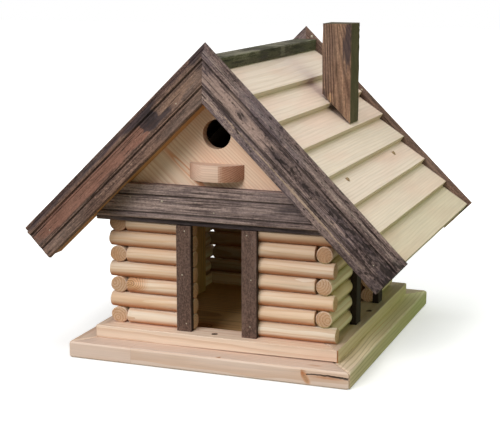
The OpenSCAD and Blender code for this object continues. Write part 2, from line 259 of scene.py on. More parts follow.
def weatheredFinish(name, looks):
    # brown stained softwood that has greyed: fine raised grain, grit, dark pits, pale worn fibres
    finish = Finish(name, looks)
    wood, looks = growWood(finish), finish.looks
    tone, _, green = finish.parts(finish.attribute("tone"))
    rust, soot, wear = finish.parts(finish.attribute("stain"))
    arris = finish.attribute("arris", "Fac")
    groove = finish.attribute("groove", "Fac")
    place = wood["place"]
    streak = finish.fibres(place, 14, 400, 4.0, 0.62)
    strand = finish.fibres(place, 45, 950, 3.0, 0.6)
    grit = finish.fibres(place, 380, 560, 3.0, 0.7)
    mottle = finish.fibres(place, 30, 62, 3.0, 0.6)
    broad = finish.fibres(place, 9, 26, 2.0, 0.5)
    light = streak * looks["streakShare"] + strand * 0.2 + grit * looks["gritShare"] + mottle * 0.25
    middle = 0.5 * (looks["streakShare"] + looks["gritShare"] + 0.45)
    finish.colour = finish.blend(finish.rise(light - middle, -0.075, 0.075), looks["dark"], looks["mid"])
    finish.tint(finish.rise(broad, 0.42, 0.62) * looks["greyDepth"], "grey")
    blot = (mottle - 0.5) * 1.1 + (streak - 0.5) * 1.7
    finish.tint(finish.rise(rust + blot, 0.2, 0.75) * 0.8, "rust")
    finish.tint(finish.rise(blot - rust, 0.25, 0.75) * 0.7, "gold")
    rings = wood["late"] * looks["ringDepth"] + finish.attribute("ring", "Fac") * looks["ringPaint"]
    finish.tint(rings, "ring")
    fleck = strand * 0.25 + grit * 0.3 + streak * 0.45 + wear * 0.1
    fleck = finish.rise(fleck, looks["paleFrom"], looks["paleFrom"] + 0.06)
    finish.tint(fleck * looks["paleDepth"], "pale")
    bare = finish.rise(strand * 0.35 + grit * 0.3 + mottle * 0.35 + wear * 0.2, 0.62, 0.7)
    finish.tint(bare * looks["bareDepth"], "bare")
    grey = (grit - 0.5) * looks["fibreDepth"] + (strand - 0.5) * looks["hairDepth"]
    finish.colour = finish.colour * (1 + grey + tone)
    finish.tint(finish.rise(soot + blot, 0.2, 0.7) * looks["sootDepth"], "soot")
    dab = finish.fibres(place, 120, 300)
    dab = finish.rise(dab + soot * 0.2, 0.64, 0.7) * looks["dabDepth"]
    check = finish.rise(streak * 0.6 + strand * 0.4, 0.42, 0.36) * looks["checkDepth"]
    finish.tint(check, "check")
    finish.tint(dab, "check")
    finish.tint(groove * (0.8 + (strand - 0.5) * 1.2), "check")
    finish.tint(green, "green")
    worn = arris * finish.rise(mottle * 0.5 + strand * 0.5, 0.44, 0.6)
    finish.tint(worn * looks["wornDepth"], "pale")
    finish.tint(finish.attribute("endCut", "Fac") * 0.6, "check")
    # painted shade: faces marked with shade are darkened towards the check colour
    finish.tint(finish.attribute("shade", "Fac"), "check")
    rough = looks["rough"] + (grit - 0.5) * 0.3
    finish.coat({"Base Color": finish.colour, "Roughness": rough, "Specular IOR Level": looks["gloss"]})
    height = streak * 0.9 + strand * 0.6 + grit * 0.5 + wood["late"] * 0.4 - check * 0.7
    finish.dent(height, looks["dent"], 0.7 * mm)
    return finish.material


def metalFinish(name, looks):
    # nails, staples and screws, with a little tarnish
    finish = Finish(name, looks)
    looks = finish.looks
    place = finish.node("ShaderNodeTexCoord", out="Object")
    tarnish = finish.cloud(place * 1400, 3.0, 0.6)
    colour = finish.blend(finish.rise(tarnish, 0.4, 0.65), looks["bright"], looks["dull"])
    rough = looks["rough"] + (tarnish - 0.5) * 0.3
    finish.coat({"Base Color": colour, "Roughness": rough, "Metallic": looks["metal"]})
    finish.dent(tarnish, 0.3, 0.08 * mm)
    return finish.material


pineLooks = {
    "early": (236, 212, 192), "late": (206, 164, 130), "blush": (230, 192, 170), "green": (180, 176, 128),
    "end": (214, 186, 160), "endSpeck": (190, 150, 118), "knot": (188, 130, 78),
    "knotDark": (132, 80, 42), "halo": (238, 196, 150), "arris": (240, 220, 202),
    "resin": (216, 168, 124), "soot": (70, 42, 22), "ringGap": 5.2 * mm, "ringDepth": 0.45,
    "lateFrom": 0.45, "wander": 9 * mm, "ripple": 1.4 * mm, "taper": 0.004, "blushDepth": 0.55,
    "fibreDepth": 0.3, "hairDepth": 0.2, "endDepth": 0.9, "knotStretch": 0.35, "knotLean": 0.0,
    "knotDepth": 1.0, "haloDepth": 0.45, "haloReach": 5.0, "haloRings": 0.0, "underDepth": 0.9,
    "under": (226, 172, 122), "endRings": 0.5, "rough": 0.58, "gloss": 0.3, "dent": 0.25,
}
sideBaseLooks = dict(
    pineLooks, late=(158, 122, 78), ringGap=4.2 * mm, ringDepth=0.55, lateFrom=0.5, wander=12 * mm,
    green=(176, 190, 122),
)
frontBaseLooks = dict(
    pineLooks, early=(230, 206, 192), knotStretch=4.2, knotLean=-0.5, knotDepth=0.75, haloDepth=0.7,
    halo=(236, 190, 138), knot=(196, 140, 92), knotDark=(150, 98, 58),
)
logLooks = dict(
    pineLooks, early=(236, 217, 197), late=(202, 156, 112), blush=(226, 184, 144), end=(222, 202, 184),
    under=(200, 138, 88), ringGap=3.2 * mm, ringDepth=0.5, wander=6 * mm, taper=0.012, rough=0.5,
    gloss=0.35, knot=(208, 156, 104), knotDark=(124, 76, 38), halo=(236, 192, 144), haloDepth=0.7,
    haloReach=14.0, haloRings=0.6, knotDepth=0.9,
)
# painted reflection: the right wall's logs get a green under colour, the grass's green on their undersides
grassLitLogLooks = dict(logLooks, under=(168, 178, 96), underDepth=1.0)
panelLooks = dict(
    pineLooks, early=(236, 211, 188), late=(196, 144, 106), blush=(228, 184, 156), ringGap=3.4 * mm,
    ringDepth=0.42, lateFrom=0.3, wander=12 * mm, ripple=1.6 * mm, taper=0.01, knotStretch=0.010,
    knotDepth=0.0, haloDepth=0.8, halo=(236, 182, 146),
)
perchLooks = dict(
    pineLooks, early=(226, 202, 184), late=(180, 132, 104), blush=(220, 182, 162), ringGap=2.1 * mm,
    ringDepth=0.4, lateFrom=0.3, wander=2 * mm, ripple=0.6 * mm, end=(208, 176, 160), underDepth=0.0,
    endRings=1.4,
)
roofLooks = dict(
    pineLooks, early=(234, 215, 202), late=(202, 174, 148), blush=(232, 196, 182), green=(184, 180, 132),
    end=(214, 196, 160), ringGap=3.1 * mm, ringDepth=0.3, wander=6 * mm, ripple=0.6 * mm, blushDepth=0.5,
    taper=0.006, rough=0.62,
)
# painted shade: a darker, warmer copy of the pine for the floor, battens and loft inside the feeder
shadedRoomLooks = dict(
    pineLooks, early=(214, 176, 128), late=(132, 88, 50), blush=(186, 138, 92), rough=0.7,
)
# painted shade: a darker, warmer copy of the pine for the rafters, whose undersides lie in shade under the
# eaves
shadedRafterLooks = dict(
    pineLooks, early=(194, 142, 88), late=(146, 92, 48), blush=(178, 118, 66),
)
darkLooks = {
    "dark": (78, 63, 63), "mid": (150, 128, 122), "grey": (114, 102, 112), "rust": (170, 145, 136),
    "ring": (72, 58, 54), "pale": (176, 156, 148), "bare": (176, 152, 128), "check": (30, 22, 20),
    "soot": (54, 46, 52), "green": (62, 66, 42), "gold": (118, 102, 88), "ringGap": 4.5 * mm,
    "ringDepth": 0.25, "lateFrom": 0.4, "wander": 10 * mm, "ripple": 1.5 * mm, "taper": 0.01,
    "greyDepth": 0.45, "streakShare": 0.35, "gritShare": 0.24, "paleFrom": 0.575, "paleDepth": 0.45,
    "bareDepth": 0.55, "checkDepth": 0.8, "fibreDepth": 1.0, "hairDepth": 0.5, "wornDepth": 0.55,
    "rough": 0.72, "gloss": 0.25, "dent": 0.6, "knotStretch": 0.35, "knotLean": 0.0, "haloReach": 5.0,
    "ringPaint": 0.0, "sootDepth": 0.55, "dabDepth": 0.75,
}
redTrimLooks = dict(
    darkLooks, dark=(84, 64, 58), mid=(144, 114, 100), grey=(126, 110, 102), rust=(140, 98, 84),
    gold=(140, 110, 94), ring=(84, 60, 50), pale=(168, 142, 126), bareDepth=0.15, sootDepth=0.85,
    dabDepth=0.3,
)
lintelLooks = dict(
    darkLooks, dark=(92, 77, 76), mid=(166, 145, 138), grey=(154, 136, 134), pale=(188, 168, 160),
    gold=(150, 132, 122), paleDepth=0.4, bareDepth=0.1, streakShare=0.6, gritShare=0.12, sootDepth=0.85,
    dabDepth=0.2,
)
postLooks = dict(
    darkLooks, dark=(84, 64, 56), mid=(108, 84, 74), grey=(98, 80, 74), paleDepth=0.05, bareDepth=0.0,
    ringDepth=0.05, checkDepth=0.05, greyDepth=0.3, wornDepth=0.1, streakShare=0.05, gritShare=0.6,
    fibreDepth=1.3, hairDepth=0.2, dent=0.4, dabDepth=0.0,
)
# its green check colour also darkens the right side: painted shade with a painted green reflection
chimneyLooks = dict(
    darkLooks, dark=(120, 90, 74), mid=(160, 128, 106), grey=(124, 102, 94), ring=(52, 34, 28),
    pale=(186, 152, 124), rust=(190, 150, 116), check=(30, 58, 34), ringDepth=0.05, ringPaint=1.0,
    streakShare=0.25, gritShare=0.1, bareDepth=0.3, checkDepth=0.4, paleDepth=0.3, dabDepth=0.0,
    sootDepth=0.8,
)
ridgeLooks = dict(
    darkLooks, dark=(56, 54, 42), mid=(92, 88, 70), grey=(82, 84, 64), pale=(150, 146, 128),
    rust=(126, 122, 106), paleDepth=0.2, bareDepth=0.1, dabDepth=0.2, sootDepth=0.85,
)
finishes = {
    "base": pineFinish("planedPine", pineLooks),
    "frontBase": pineFinish("knottyPine", frontBaseLooks),
    "sideBase": pineFinish("ringyPine", sideBaseLooks),
    "log": pineFinish("pineDowel", logLooks),
    "grassLitLog": pineFinish("grassLitDowel", grassLitLogLooks),
    "panel": pineFinish("pinePanel", panelLooks),
    "perch": pineFinish("perchPine", perchLooks),
    "roof": pineFinish("paleRoofPine", roofLooks),
    "room": pineFinish("shadedRoomPine", shadedRoomLooks),
    "rafter": pineFinish("shadedRafterPine", shadedRafterLooks),
    "darkTrim": weatheredFinish("weatheredTrim", darkLooks),
    "redTrim": weatheredFinish("redBrownTrim", redTrimLooks),
    "lintel": weatheredFinish("greyBrownLintel", lintelLooks),
    "post": weatheredFinish("stainedPost", postLooks),
    "chimney": weatheredFinish("stainedChimney", chimneyLooks),
    "ridge": weatheredFinish("weatheredRidge", ridgeLooks),
    "steel": metalFinish("nailSteel", {
        "bright": (204, 194, 176), "dull": (128, 114, 98), "rough": 0.45, "metal": 0.4}),
    "rustyScrew": metalFinish("rustyScrew", {
        "bright": (196, 168, 130), "dull": (132, 104, 72), "rough": 0.55, "metal": 0.1}),
    "screw": metalFinish("darkScrew", {
        "bright": (96, 70, 42), "dull": (36, 26, 17), "rough": 0.55, "metal": 0.1}),
}
print("finishes:", len(finishes))


def added(name, data):
    made = bpy.data.objects.new(name, data)
    bpy.context.scene.collection.objects.link(made)
    return made


def standing(columns, origin):
    # the matrix that takes x, y and z to three directions, and nought to the origin
    place = Matrix(columns).transposed().to_4x4()
    place.translation = origin
    return place


def moved(bm, matrix):
    bmesh.ops.transform(bm, matrix=matrix, verts=bm.verts)


def sawOff(bm, point, outward):
    # plane cut that drops what lies beyond it and closes the cut face
    everything = bm.verts[:] + bm.edges[:] + bm.faces[:]
    bmesh.ops.bisect_plane(bm, geom=everything, dist=1e-7, plane_co=point, plane_no=outward, clear_outer=True)
    bmesh.ops.holes_fill(bm, edges=[edge for edge in bm.edges if edge.is_boundary], sides=0)


def easeEdges(bm, edges, width, segments=2):
    # takes the sharp arris off, and marks what it cut for the shader
    arris = bm.faces.layers.float.get("arris") or bm.faces.layers.float.new("arris")
    worn = bmesh.ops.bevel(
        bm, geom=list(edges), offset=width, offset_type="OFFSET", segments=segments, profile=0.5,
        affect="EDGES", material=-1, clamp_overlap=True)
    for face in worn["faces"]:
        face[arris] = 1.0


def sharpEdges(bm, limit=30):
    return [e for e in bm.edges if len(e.link_faces) == 2 and e.calc_face_angle() > math.radians(limit)]


def slab(low, high, cuts=(), ease=0.8 * mm, segments=2):
    # a sawn board that fills the box from low to high, less its cuts
    low, high = Vector(low), Vector(high)
    bm = bmesh.new()
    bmesh.ops.create_cube(bm, size=1)
    bmesh.ops.scale(bm, vec=high - low, verts=bm.verts)
    bmesh.ops.translate(bm, vec=(low + high) / 2, verts=bm.verts)
    for point, outward in cuts:
        sawOff(bm, point, outward)
    easeEdges(bm, bm.edges, ease, segments)
    return bm


def markWood(
        bm, along="X", face="Z", pith=(0.02, 0.03), knot=None, middle=None, tone=0.0, warmth=0.0, green=0.0):
    # writes where each point lies in its own tree: along the trunk, and off its pith both ways
    a, c = "XYZ".index(along), "XYZ".index(face)
    b = 3 - a - c
    if middle is None:
        middle = sum((v.co for v in bm.verts), Vector()) / len(bm.verts)
    shift = chance.uniform(-5, 5)
    knotAt, knotSize = knot or ((9.0, 9.0), 4 * mm)
    layers = bm.verts.layers.float_vector
    grain = layers.get("grain") or layers.new("grain")
    knots = layers.get("knot") or layers.new("knot")
    tones = layers.get("tone") or layers.new("tone")
    for v in bm.verts:
        place = v.co - Vector(middle)
        v[grain] = (place[a] + shift, place[b] + pith[0], place[c] + pith[1])
        v[knots] = (place[a] - knotAt[0], place[b] - knotAt[1], knotSize)
        v[tones] = (tone, warmth, green)
    bm.normal_update()
    endCut = bm.faces.layers.float.new("endCut")
    for f in bm.faces:
        f[endCut] = abs(f.normal[a]) ** 3
    return bm


def stain(bm, spots):
    # blotches: where, how far they reach, then how rusty, how sooty and how worn the wood is there
    layer = bm.verts.layers.float_vector.new("stain")
    for v in bm.verts:
        total = Vector()
        for middle, reach, amount in spots:
            away = Vector([(v.co[k] - middle[k]) / reach[k] for k in range(3)]).length
            if away < 1:
                total += Vector(amount) * (1 - away * away)
        v[layer] = total


def paintUnderShade(bm):
    # painted shade: how far each point faces the ground, where the under colour darkens and warms it
    bm.normal_update()
    layer = bm.verts.layers.float.new("under")
    for v in bm.verts:
        v[layer] = max(0.0, -v.normal.z)


def shadeFaces(bm, *sides):
    # darkens the faces turned one way, such as those inside the roof: each side is a direction and how much
    bm.normal_update()
    layer = bm.faces.layers.float.new("shade")
    for f in bm.faces:
        f[layer] = max(amount * max(0.0, f.normal.dot(axis) - 0.3) / 0.7 for axis, amount in sides)


def anyPith(near=18 * mm, far=70 * mm):
    # where the tree's middle was, off to one side of the board and behind it
    return (chance.uniform(-far, far), chance.choice((-1, 1)) * chance.uniform(near, far))


def split(bm, axis, station):
    # an edge loop round the board at one place along it
    point, normal = Vector(), Vector()
    point[axis], normal[axis] = station, 1
    everything = bm.verts[:] + bm.edges[:] + bm.faces[:]
    bmesh.ops.bisect_plane(bm, geom=everything, dist=1e-7, plane_co=point, plane_no=normal)


def arc(centre, radius, start, end, steps):
    angles = [start + (end - start) * k / steps for k in range(steps + 1)]
    return [(centre[0] + radius * math.cos(a), centre[1] + radius * math.sin(a)) for a in angles]


def sweptOutline(points, axis, start, end):
    # a flat outline made solid along an axis
    bm = bmesh.new()
    k = "XYZ".index(axis)
    bm.faces.new([bm.verts.new((*p[:k], start, *p[k:])) for p in points])
    swept = bmesh.ops.extrude_face_region(bm, geom=bm.faces[:])
    far = [g for g in swept["geom"] if isinstance(g, bmesh.types.BMVert)]
    step = Vector()
    step[k] = end - start
    bmesh.ops.translate(bm, vec=step, verts=far)
    bmesh.ops.recalc_face_normals(bm, faces=bm.faces)
    return bm


def carved(bm, cutter, operation):
    # one solid cut by another
    things = []
    for part in (bm, cutter):
        mesh = bpy.data.meshes.new("carve")
        part.to_mesh(mesh)
        part.free()
        things.append(added("carve", mesh))
    cut = things[0].modifiers.new("cut", "BOOLEAN")
    cut.operation = operation
    cut.solver = "EXACT"
    cut.object = things[1]
    bpy.context.view_layer.update()
    shaped = things[0].evaluated_get(bpy.context.evaluated_depsgraph_get()).to_mesh()
    made = bmesh.new()
    made.from_mesh(shaped)
    for thing in things:
        bpy.data.objects.remove(thing)
    return made


def bored(bm, centre, radius, axis, depth=0.1):
    # drills a round hole through the board
    drill = bmesh.new()
    bmesh.ops.create_cone(drill, cap_ends=True, segments=72, radius1=radius, radius2=radius, depth=depth)
    turn = Matrix.Rotation(math.pi / 2, 4, "X") if axis == "Y" else Matrix()
    moved(drill, Matrix.Translation(centre) @ turn)
    return carved(bm, drill, "DIFFERENCE")


def piece(name, boards, finish, nodes=(), smooth=0):
    # one named piece from its boards, riding on the feeder's body
    mesh = bpy.data.meshes.new(name)
    whole = bmesh.new()
    for bm in boards:
        bmesh.ops.recalc_face_normals(bm, faces=bm.faces)
        part = bpy.data.meshes.new("part")
        bm.to_mesh(part)
        whole.from_mesh(part)
        bm.free()
        bpy.data.meshes.remove(part)
    if smooth:
        for f in whole.faces:
            f.smooth = True
        for e in sharpEdges(whole, smooth):
            e.smooth = False
    whole.to_mesh(mesh)
    whole.free()
    made = added(name, mesh)
    mesh.materials.append(finishes[finish])
    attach(made, "root")
    if nodes:
        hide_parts(*nodes)
    return made


screws = {
    "sides": 28, "height": 1.6 * mm, "taper": 0.94, "rim": 0.25, "turn": 0.4,
    "recess": (1.3, 0.26), "recessDeep": 1.0 * mm,    # its length and width as shares of the head's radius
}
nailSides = (14, 8)


def screwHead(name, centre, turn, radius, finish):
    # a sunk screw with a cross recess: turn takes +Z to the way it faces
    bm = bmesh.new()
    bmesh.ops.create_cone(
        bm, cap_ends=True, segments=screws["sides"], radius1=radius, radius2=radius * screws["taper"],
        depth=screws["height"])
    top = max(bm.faces, key=lambda f: f.calc_center_median().z)
    bmesh.ops.inset_region(bm, faces=[top], thickness=radius * screws["rim"])
    for spin in (0, math.pi / 2):
        bar = bmesh.new()
        bmesh.ops.create_cube(bar, size=1)
        long, wide = screws["recess"]
        bmesh.ops.scale(bar, vec=(radius * long, radius * wide, screws["recessDeep"]), verts=bar.verts)
        place = Matrix.Translation((0, 0, screws["height"] / 2))
        place = place @ Matrix.Rotation(spin + screws["turn"], 4, "Z")
        moved(bar, place)
        bm = carved(bm, bar, "DIFFERENCE")
    moved(bm, Matrix.Translation(centre) @ turn)
    return piece(name, [bm], finish)


def nailHead(centre, turn, radius, height=0.35 * mm):
    # a small domed head standing a hair proud of the wood
    bm = bmesh.new()
    bmesh.ops.create_uvsphere(bm, u_segments=nailSides[0], v_segments=nailSides[1], radius=1)
    bmesh.ops.scale(bm, vec=(radius, radius, height), verts=bm.verts)
    moved(bm, Matrix.Translation(centre) @ turn)
    return bm


towardsFront = Matrix.Rotation(math.pi / 2, 4, "X")   # takes +Z to -Y


base = {
    "lowerEase": 2.4 * mm,      # the lower tier's arrises are well rounded
    "upperEase": 0.8 * mm,
    "lowerGap": 0.2 * mm, "upperGap": 0.4 * mm,   # how far the mitres have opened
    "lift": 0.0080,             # slope of the shadow gap under the upper front board
    "knotAt": (123.6 * mm, 8.5 * mm), "knotSize": 4.6 * mm,
    "crackFrom": (124 * mm, 13.3 * mm), "crackTo": 176 * mm, "crackDeep": 9 * mm,
    "crackWidths": (1.3 * mm, 2.9 * mm), "crackShade": 0.55,
    "jointAt": -93.2 * mm, "jointWide": 0.5 * mm, "jointShade": 0.12,
    "smear": ((131 * mm, -179 * mm, 20 * mm), (17 * mm, 5 * mm, 3 * mm), (0.6, 0.22, 0)),
    "nick": ((17.5 * mm, -189 * mm, 20 * mm), (5 * mm, 3.5 * mm, 3 * mm), (1.0, 0.6, 0)),
    "crackStain": ((150 * mm, -193 * mm, 13 * mm), (34 * mm, 14 * mm, 3.5 * mm), (0.5, 0, 0)),
    "resinAt": ((120 * mm, -192 * mm, 15.5 * mm), (6 * mm, 8 * mm, 4 * mm), (1.0, 0.3, 0)),
    "screws": ((-3 * mm, -150.6 * mm), (141.2 * mm, 11 * mm)),
    # painted light on top faces that lie in shade
    "topLight": {("lower", "right"): (0.05, 0.62, 0.5), ("upper", "front"): (0.16, 0.16, 0.16)},
    "screwHole": 3.9 * mm, "screwPlay": 0.9 * mm, "screwSunk": 2.0 * mm, "warmEnd": 2.2 * mm, "greenReflection": 0.6,
    "frontCells": (4 * mm, 3 * mm), "rightCells": 20 * mm, "crackSteps": 24, "holeShade": 0.8,
}


def frameTier(tier):
    # four mitred boards, each sawn from the corner of the tier to the corner of its opening
    boxes = {side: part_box(f"{tier}_{side}_board") for side in ("front", "back", "left", "right")}
    outer = Vector((boxes["right"][1].x, boxes["back"][1].y, 0))
    inner = Vector((boxes["right"][0].x, boxes["back"][0].y, 0))
    made = {}
    for side, (low, high) in boxes.items():
        turned = side in ("left", "right")
        hand = -1 if side in ("front", "left") else 1
        cuts = []
        for end in (-1, 1):
            way = Vector((hand, end, 0)) if turned else Vector((end, hand, 0))
            corner, hole = outer * way, inner * way
            along = (hole - corner).normalized()
            outward = Vector((along.y, -along.x, 0))
            outward *= 1 if outward.dot(corner - (low + high) / 2) > 0 else -1
            cuts.append((corner - outward * base[tier + "Gap"], outward))
        if tier == "upper" and side == "front":
            cuts.append((Vector((-70 * mm, 0, low.z)), Vector((base["lift"], 0, -1)).normalized()))
        bm = slab(low, high, cuts, base[tier + "Ease"], 4)
        made[side] = (bm, "Y" if turned else "X", low, high)
    return made


def combed(bm, axis, low, high, step):
    # adds edge loops, so that blotches and wear have points to sit on
    count = int((high - low) / step)
    for k in range(1, count):
        split(bm, axis, low + (high - low) * k / count)


def crackCutter(low):
    # a long thin wedge, a ragged line in front view
    x, z = base["crackFrom"]
    start, end = base["crackWidths"]
    top, foot = [], []
    for k in range(base["crackSteps"]):
        share = k / (base["crackSteps"] - 1)
        here = x + (base["crackTo"] - x) * share
        wander = (chance.uniform(-0.35, 0.35) + 0.8 * math.sin(share * 4)) * mm
        half = (start + (end - start) * share) / 2
        top.append((here, z + wander + half))
        foot.append((here, z + wander - half * chance.uniform(0.7, 1.1)))
    return sweptOutline(top + foot[::-1], "Y", low.y - 2 * mm, low.y + base["crackDeep"])


def retone(bm, change):
    # shifts tone, warmth and green at each point by what change says of the place
    tones = bm.verts.layers.float_vector["tone"]
    for v in bm.verts:
        v[tones] = v[tones] + Vector(change(v.co))


def markJoint(bm, low):
    # another length of wood beyond the finger joint, a dark glue line between, and painted shade inside the
    # crack
    grain = bm.verts.layers.float_vector["grain"]
    for v in bm.verts:
        if v.co.x < base["jointAt"]:
            v[grain] = v[grain] + Vector((3, 0.004, 0.002))
    retone(bm, lambda place: (-0.012, 0.1, 0) if place.x < base["jointAt"] else (0, 0, 0))
    shade = bm.faces.layers.float.new("shade")
    x, z = base["crackFrom"]
    for f in bm.faces:
        middle = f.calc_center_median()
        if abs(middle.x - base["jointAt"]) < base["jointWide"] / 2:
            f[shade] = base["jointShade"]
        inCrack = abs(middle.z - z) < 5 * mm and low.y + 0.3 * mm < middle.y < low.y + base["crackDeep"] + mm
        if inCrack and middle.x > x - mm and f.normal.x < 0.9:
            f[shade] = base["crackShade"]


def paintGreenReflection(bm, axis, start, end, power):
    # painted reflection: the grass's green, stronger towards the back of the shaded side
    def change(place):
        share = min(1.0, max(0.0, (place[axis] - start) / (end - start)))
        return (0, 0, base["greenReflection"] * share ** power)

    retone(bm, change)


def paintTopLight(bm, high, amount):
    # the top face is made paler than the sides, painted light against the shade on it: amount at the board's
    # front end, middle and back end
    def change(place):
        share = (place.y / high.y + 1) / 2
        first, second = amount[:2] if share < 0.5 else amount[1:]
        onTop = place.z > high.z - 0.4 * mm
        return (first + (second - first) * (share * 2 % 1) if onTop else 0, 0, 0)

    retone(bm, change)


def warmEnd(bm, end):
    # the fresh saw cut at the mitre is warmer than the weathered face
    layer = bm.verts.layers.float.new("under")
    for v in bm.verts:
        v[layer] = 0.8 if v.co.y < end + 0.05 * mm else 0.0


def darkHole(bm, mouth):
    # painted shade inside the screw hole: its walls are darkened
    shade = bm.faces.layers.float.get("shade") or bm.faces.layers.float.new("shade")
    for f in bm.faces:
        away = f.calc_center_median() - mouth
        if away.xy.length < base["screwHole"] + 0.05 * mm and away.z < -0.1 * mm:
            f[shade] = base["holeShade"]


def buildBase():
    for tier in ("lower", "upper"):
        for side, (bm, lengthwise, low, high) in frameTier(tier).items():
            looks = {"tone": chance.uniform(-0.03, 0.03), "warmth": chance.uniform(-0.5, 0.5)}
            face, finish, spots = "Z", "base", []
            if tier == "lower" and side == "front":
                face, finish = "Y", "frontBase"
                bm = carved(bm, crackCutter(low), "DIFFERENCE")
                for axis, cell in enumerate(base["frontCells"]):
                    combed(bm, axis, low[axis], high[axis], cell)
                for share in (-0.5, 0.5):
                    split(bm, 0, base["jointAt"] + share * base["jointWide"])
                spots = [base["smear"], base["nick"], base["crackStain"], base["resinAt"]]
                middle = (0, low.y, (low.z + high.z) / 2)
                x, z = base["knotAt"]
                looks.update(middle=middle, knot=((x, z - middle[2]), base["knotSize"]))
            if tier == "upper" and side == "right":
                for further in (0, 0.3 * mm):
                    split(bm, 1, low.y + base["warmEnd"] + further)
            if tier == "lower" and side == "right":
                finish = "sideBase"
                # painted reflection: a little of the grass's green
                looks.update(tone=0.0, green=0.05)
                combed(bm, 1, low.y, high.y, base["rightCells"])
            if tier == "upper" and side in ("front", "right"):
                x, y = base["screws"][0 if side == "front" else 1]
                looks["warmth"] = -0.2
                looks["tone"] -= 0.03
                bm = bored(bm, Vector((x, y, high.z)), base["screwHole"], "Z", 4 * mm)
            markWood(bm, lengthwise, face, anyPith(), **looks)
            if finish == "frontBase":
                markJoint(bm, low)
            if side == "right":
                paintGreenReflection(bm, 1, low.y, high.y, 0.7)
            if side == "back":
                paintGreenReflection(bm, 0, low.x, high.x, 2)
            if (tier, side) in base["topLight"]:
                paintTopLight(bm, high, base["topLight"][tier, side])
            if tier == "upper" and side == "right":
                warmEnd(bm, low.y + base["warmEnd"])
            if tier == "upper" and side in ("front", "right"):
                darkHole(bm, Vector((x, y, high.z)))
            stain(bm, spots)
            piece(f"{tier}{side.title()}Board", [bm], finish, [f"{tier}_{side}_board"])
    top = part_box("upper_front_board")[1].z
    for k, (x, y) in enumerate(base["screws"]):
        centre = Vector((x, y, top - base["screwSunk"]))
        radius = base["screwHole"] - base["screwPlay"]
        screwHead(f"baseScrew{k + 1}", centre, Matrix(), radius, "screw")
    low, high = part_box("floor_panel")
    floor = slab(low, high, ease=0.4 * mm)
    markWood(floor, "X", "Z", (0.03, 0.05), knot=((-0.05, -0.074), 9 * mm), middle=(0, 0, high.z))
    piece("floorPanel", [floor], "room", ["floor_panel"])


buildBase()
print("base done")


logs = {
    "rows": 7,
    "gap": 0.2 * mm,
    "sides": 40,          # facets round a log
    "buttGap": 0.7 * mm,
    "rightEnds": (0.6, 0, 3.2, 0, 3.4, 0, 3.2),      # how much shorter each course is than the longest, mm
    "leftEnds": (0, 4.2, 0, 3.6, 0, 3.8, 0),
    "leftOval": 1.15, "flare": 0.06, "flareLong": 12 * mm, "inShade": 0.55, "cell": 12 * mm,
    "eases": (0.6, 1.1), "pithOff": (3, 8),          # both in mm
    "flattened": (0.16, 0.14), "sawn": 0.35,         # mm off a side, and how rough its ends are sawn
    "eaveShading": (-0.1, 0.05, 0.1, 0.25, 0.4, 0.8, 1.6),    # painted shade: courses under the eaves are darker and warmer
    "knotRow": 2, "knotAt": (-114.5 * mm, 3.4 * mm), "knotSize": 4.4 * mm,
}


def dowel(start, end, middle, radius, along, flat=None, looks=None, widen=None):
    # one log between two stations, with eased ends and, where a post sits, a planed flat;
    # widen makes it oval, scaling x about a line that stays
    length = end - start
    a = "XYZ".index(along)
    bm = bmesh.new()
    bmesh.ops.create_cone(
        bm, cap_ends=True, segments=logs["sides"], radius1=radius, radius2=radius, depth=length)
    rims = [e for e in bm.edges if len(e.link_faces) == 2 and e.calc_face_angle() > math.radians(50)]
    easeEdges(bm, rims, chance.uniform(*logs["eases"]) * mm, 3)
    turn = Matrix.Rotation(math.pi / 2, 4, "Y") if along == "X" else Matrix.Rotation(-math.pi / 2, 4, "X")
    moved(bm, turn)
    centre = Vector(middle)
    centre[a] = (start + end) / 2
    bmesh.ops.translate(bm, vec=centre, verts=bm.verts)
    combed(bm, a, start, end, logs["cell"])
    least, more = logs["flattened"]
    for v in bm.verts:  # turned by a small mill, so never quite round, and sawn a little rough
        inFromEnd = min(v.co[a] - start, end - v.co[a])
        spin = v.co - centre
        spin[a] = 0
        shape = noise.noise(Vector((v.co.x * 25, v.co.y * 90, v.co.z * 90)) + centre * 9)
        if spin.length > 0:
            level = 1 - (spin.z / spin.length) ** 2
            v.co -= spin.normalized() * (least + more * shape) * level * mm
        if inFromEnd < 1 * mm:
            rough = logs["sawn"] + logs["sawn"] * noise.noise(v.co * 260)
            v.co -= spin * 0.07 * max(0.0, noise.noise(v.co * 160) + 0.2)
            v.co[a] += rough * mm * (1 if v.co[a] < centre[a] else -1)
    if widen:
        for v in bm.verts:
            v.co.x = widen[0] + (v.co.x - widen[0]) * widen[1]
            flare = 1 + logs["flare"] * max(0.0, 1 - (v.co.y - start) / logs["flareLong"])
            v.co.x = centre.x + (v.co.x - centre.x) * flare
            v.co.z = centre.z + (v.co.z - centre.z) * flare
    if flat:
        planeFlat(bm, a, flat)
    face = "Y" if along == "X" else "X"
    pith = (chance.uniform(-6, 6) * mm, chance.choice((-1, 1)) * chance.uniform(*logs["pithOff"]) * mm)
    markWood(bm, along, face, pith, middle=centre, **(looks or {}))
    paintUnderShade(bm)
    return bm


def planeFlat(bm, a, flat):
    # presses the log's face back to the post's seat between two stations
    low, high, axis, seat, outward = flat
    for station in (low, low + 0.3 * mm, high - 0.3 * mm, high):
        split(bm, a, station)
    for v in bm.verts:
        if low + 0.1 * mm < v.co[a] < high - 0.1 * mm and (v.co[axis] - seat) * outward > 0:
            v.co[axis] = seat


def rowHeight(low, high, row):
    step = (high.z - low.z + logs["gap"]) / logs["rows"]
    return low.z - logs["gap"] / 2 + (row + 0.5) * step, step / 2 - (0.04 * mm if row else logs["gap"] / 2)


def logLook(row):
    # painted shade: courses under the eaves get a darker, warmer colour
    warm = logs["eaveShading"][row]
    tone = chance.uniform(-0.04, 0.04) - 0.2 * warm
    return {"tone": tone, "warmth": chance.uniform(-0.6, 0.4) + warm * 1.6}


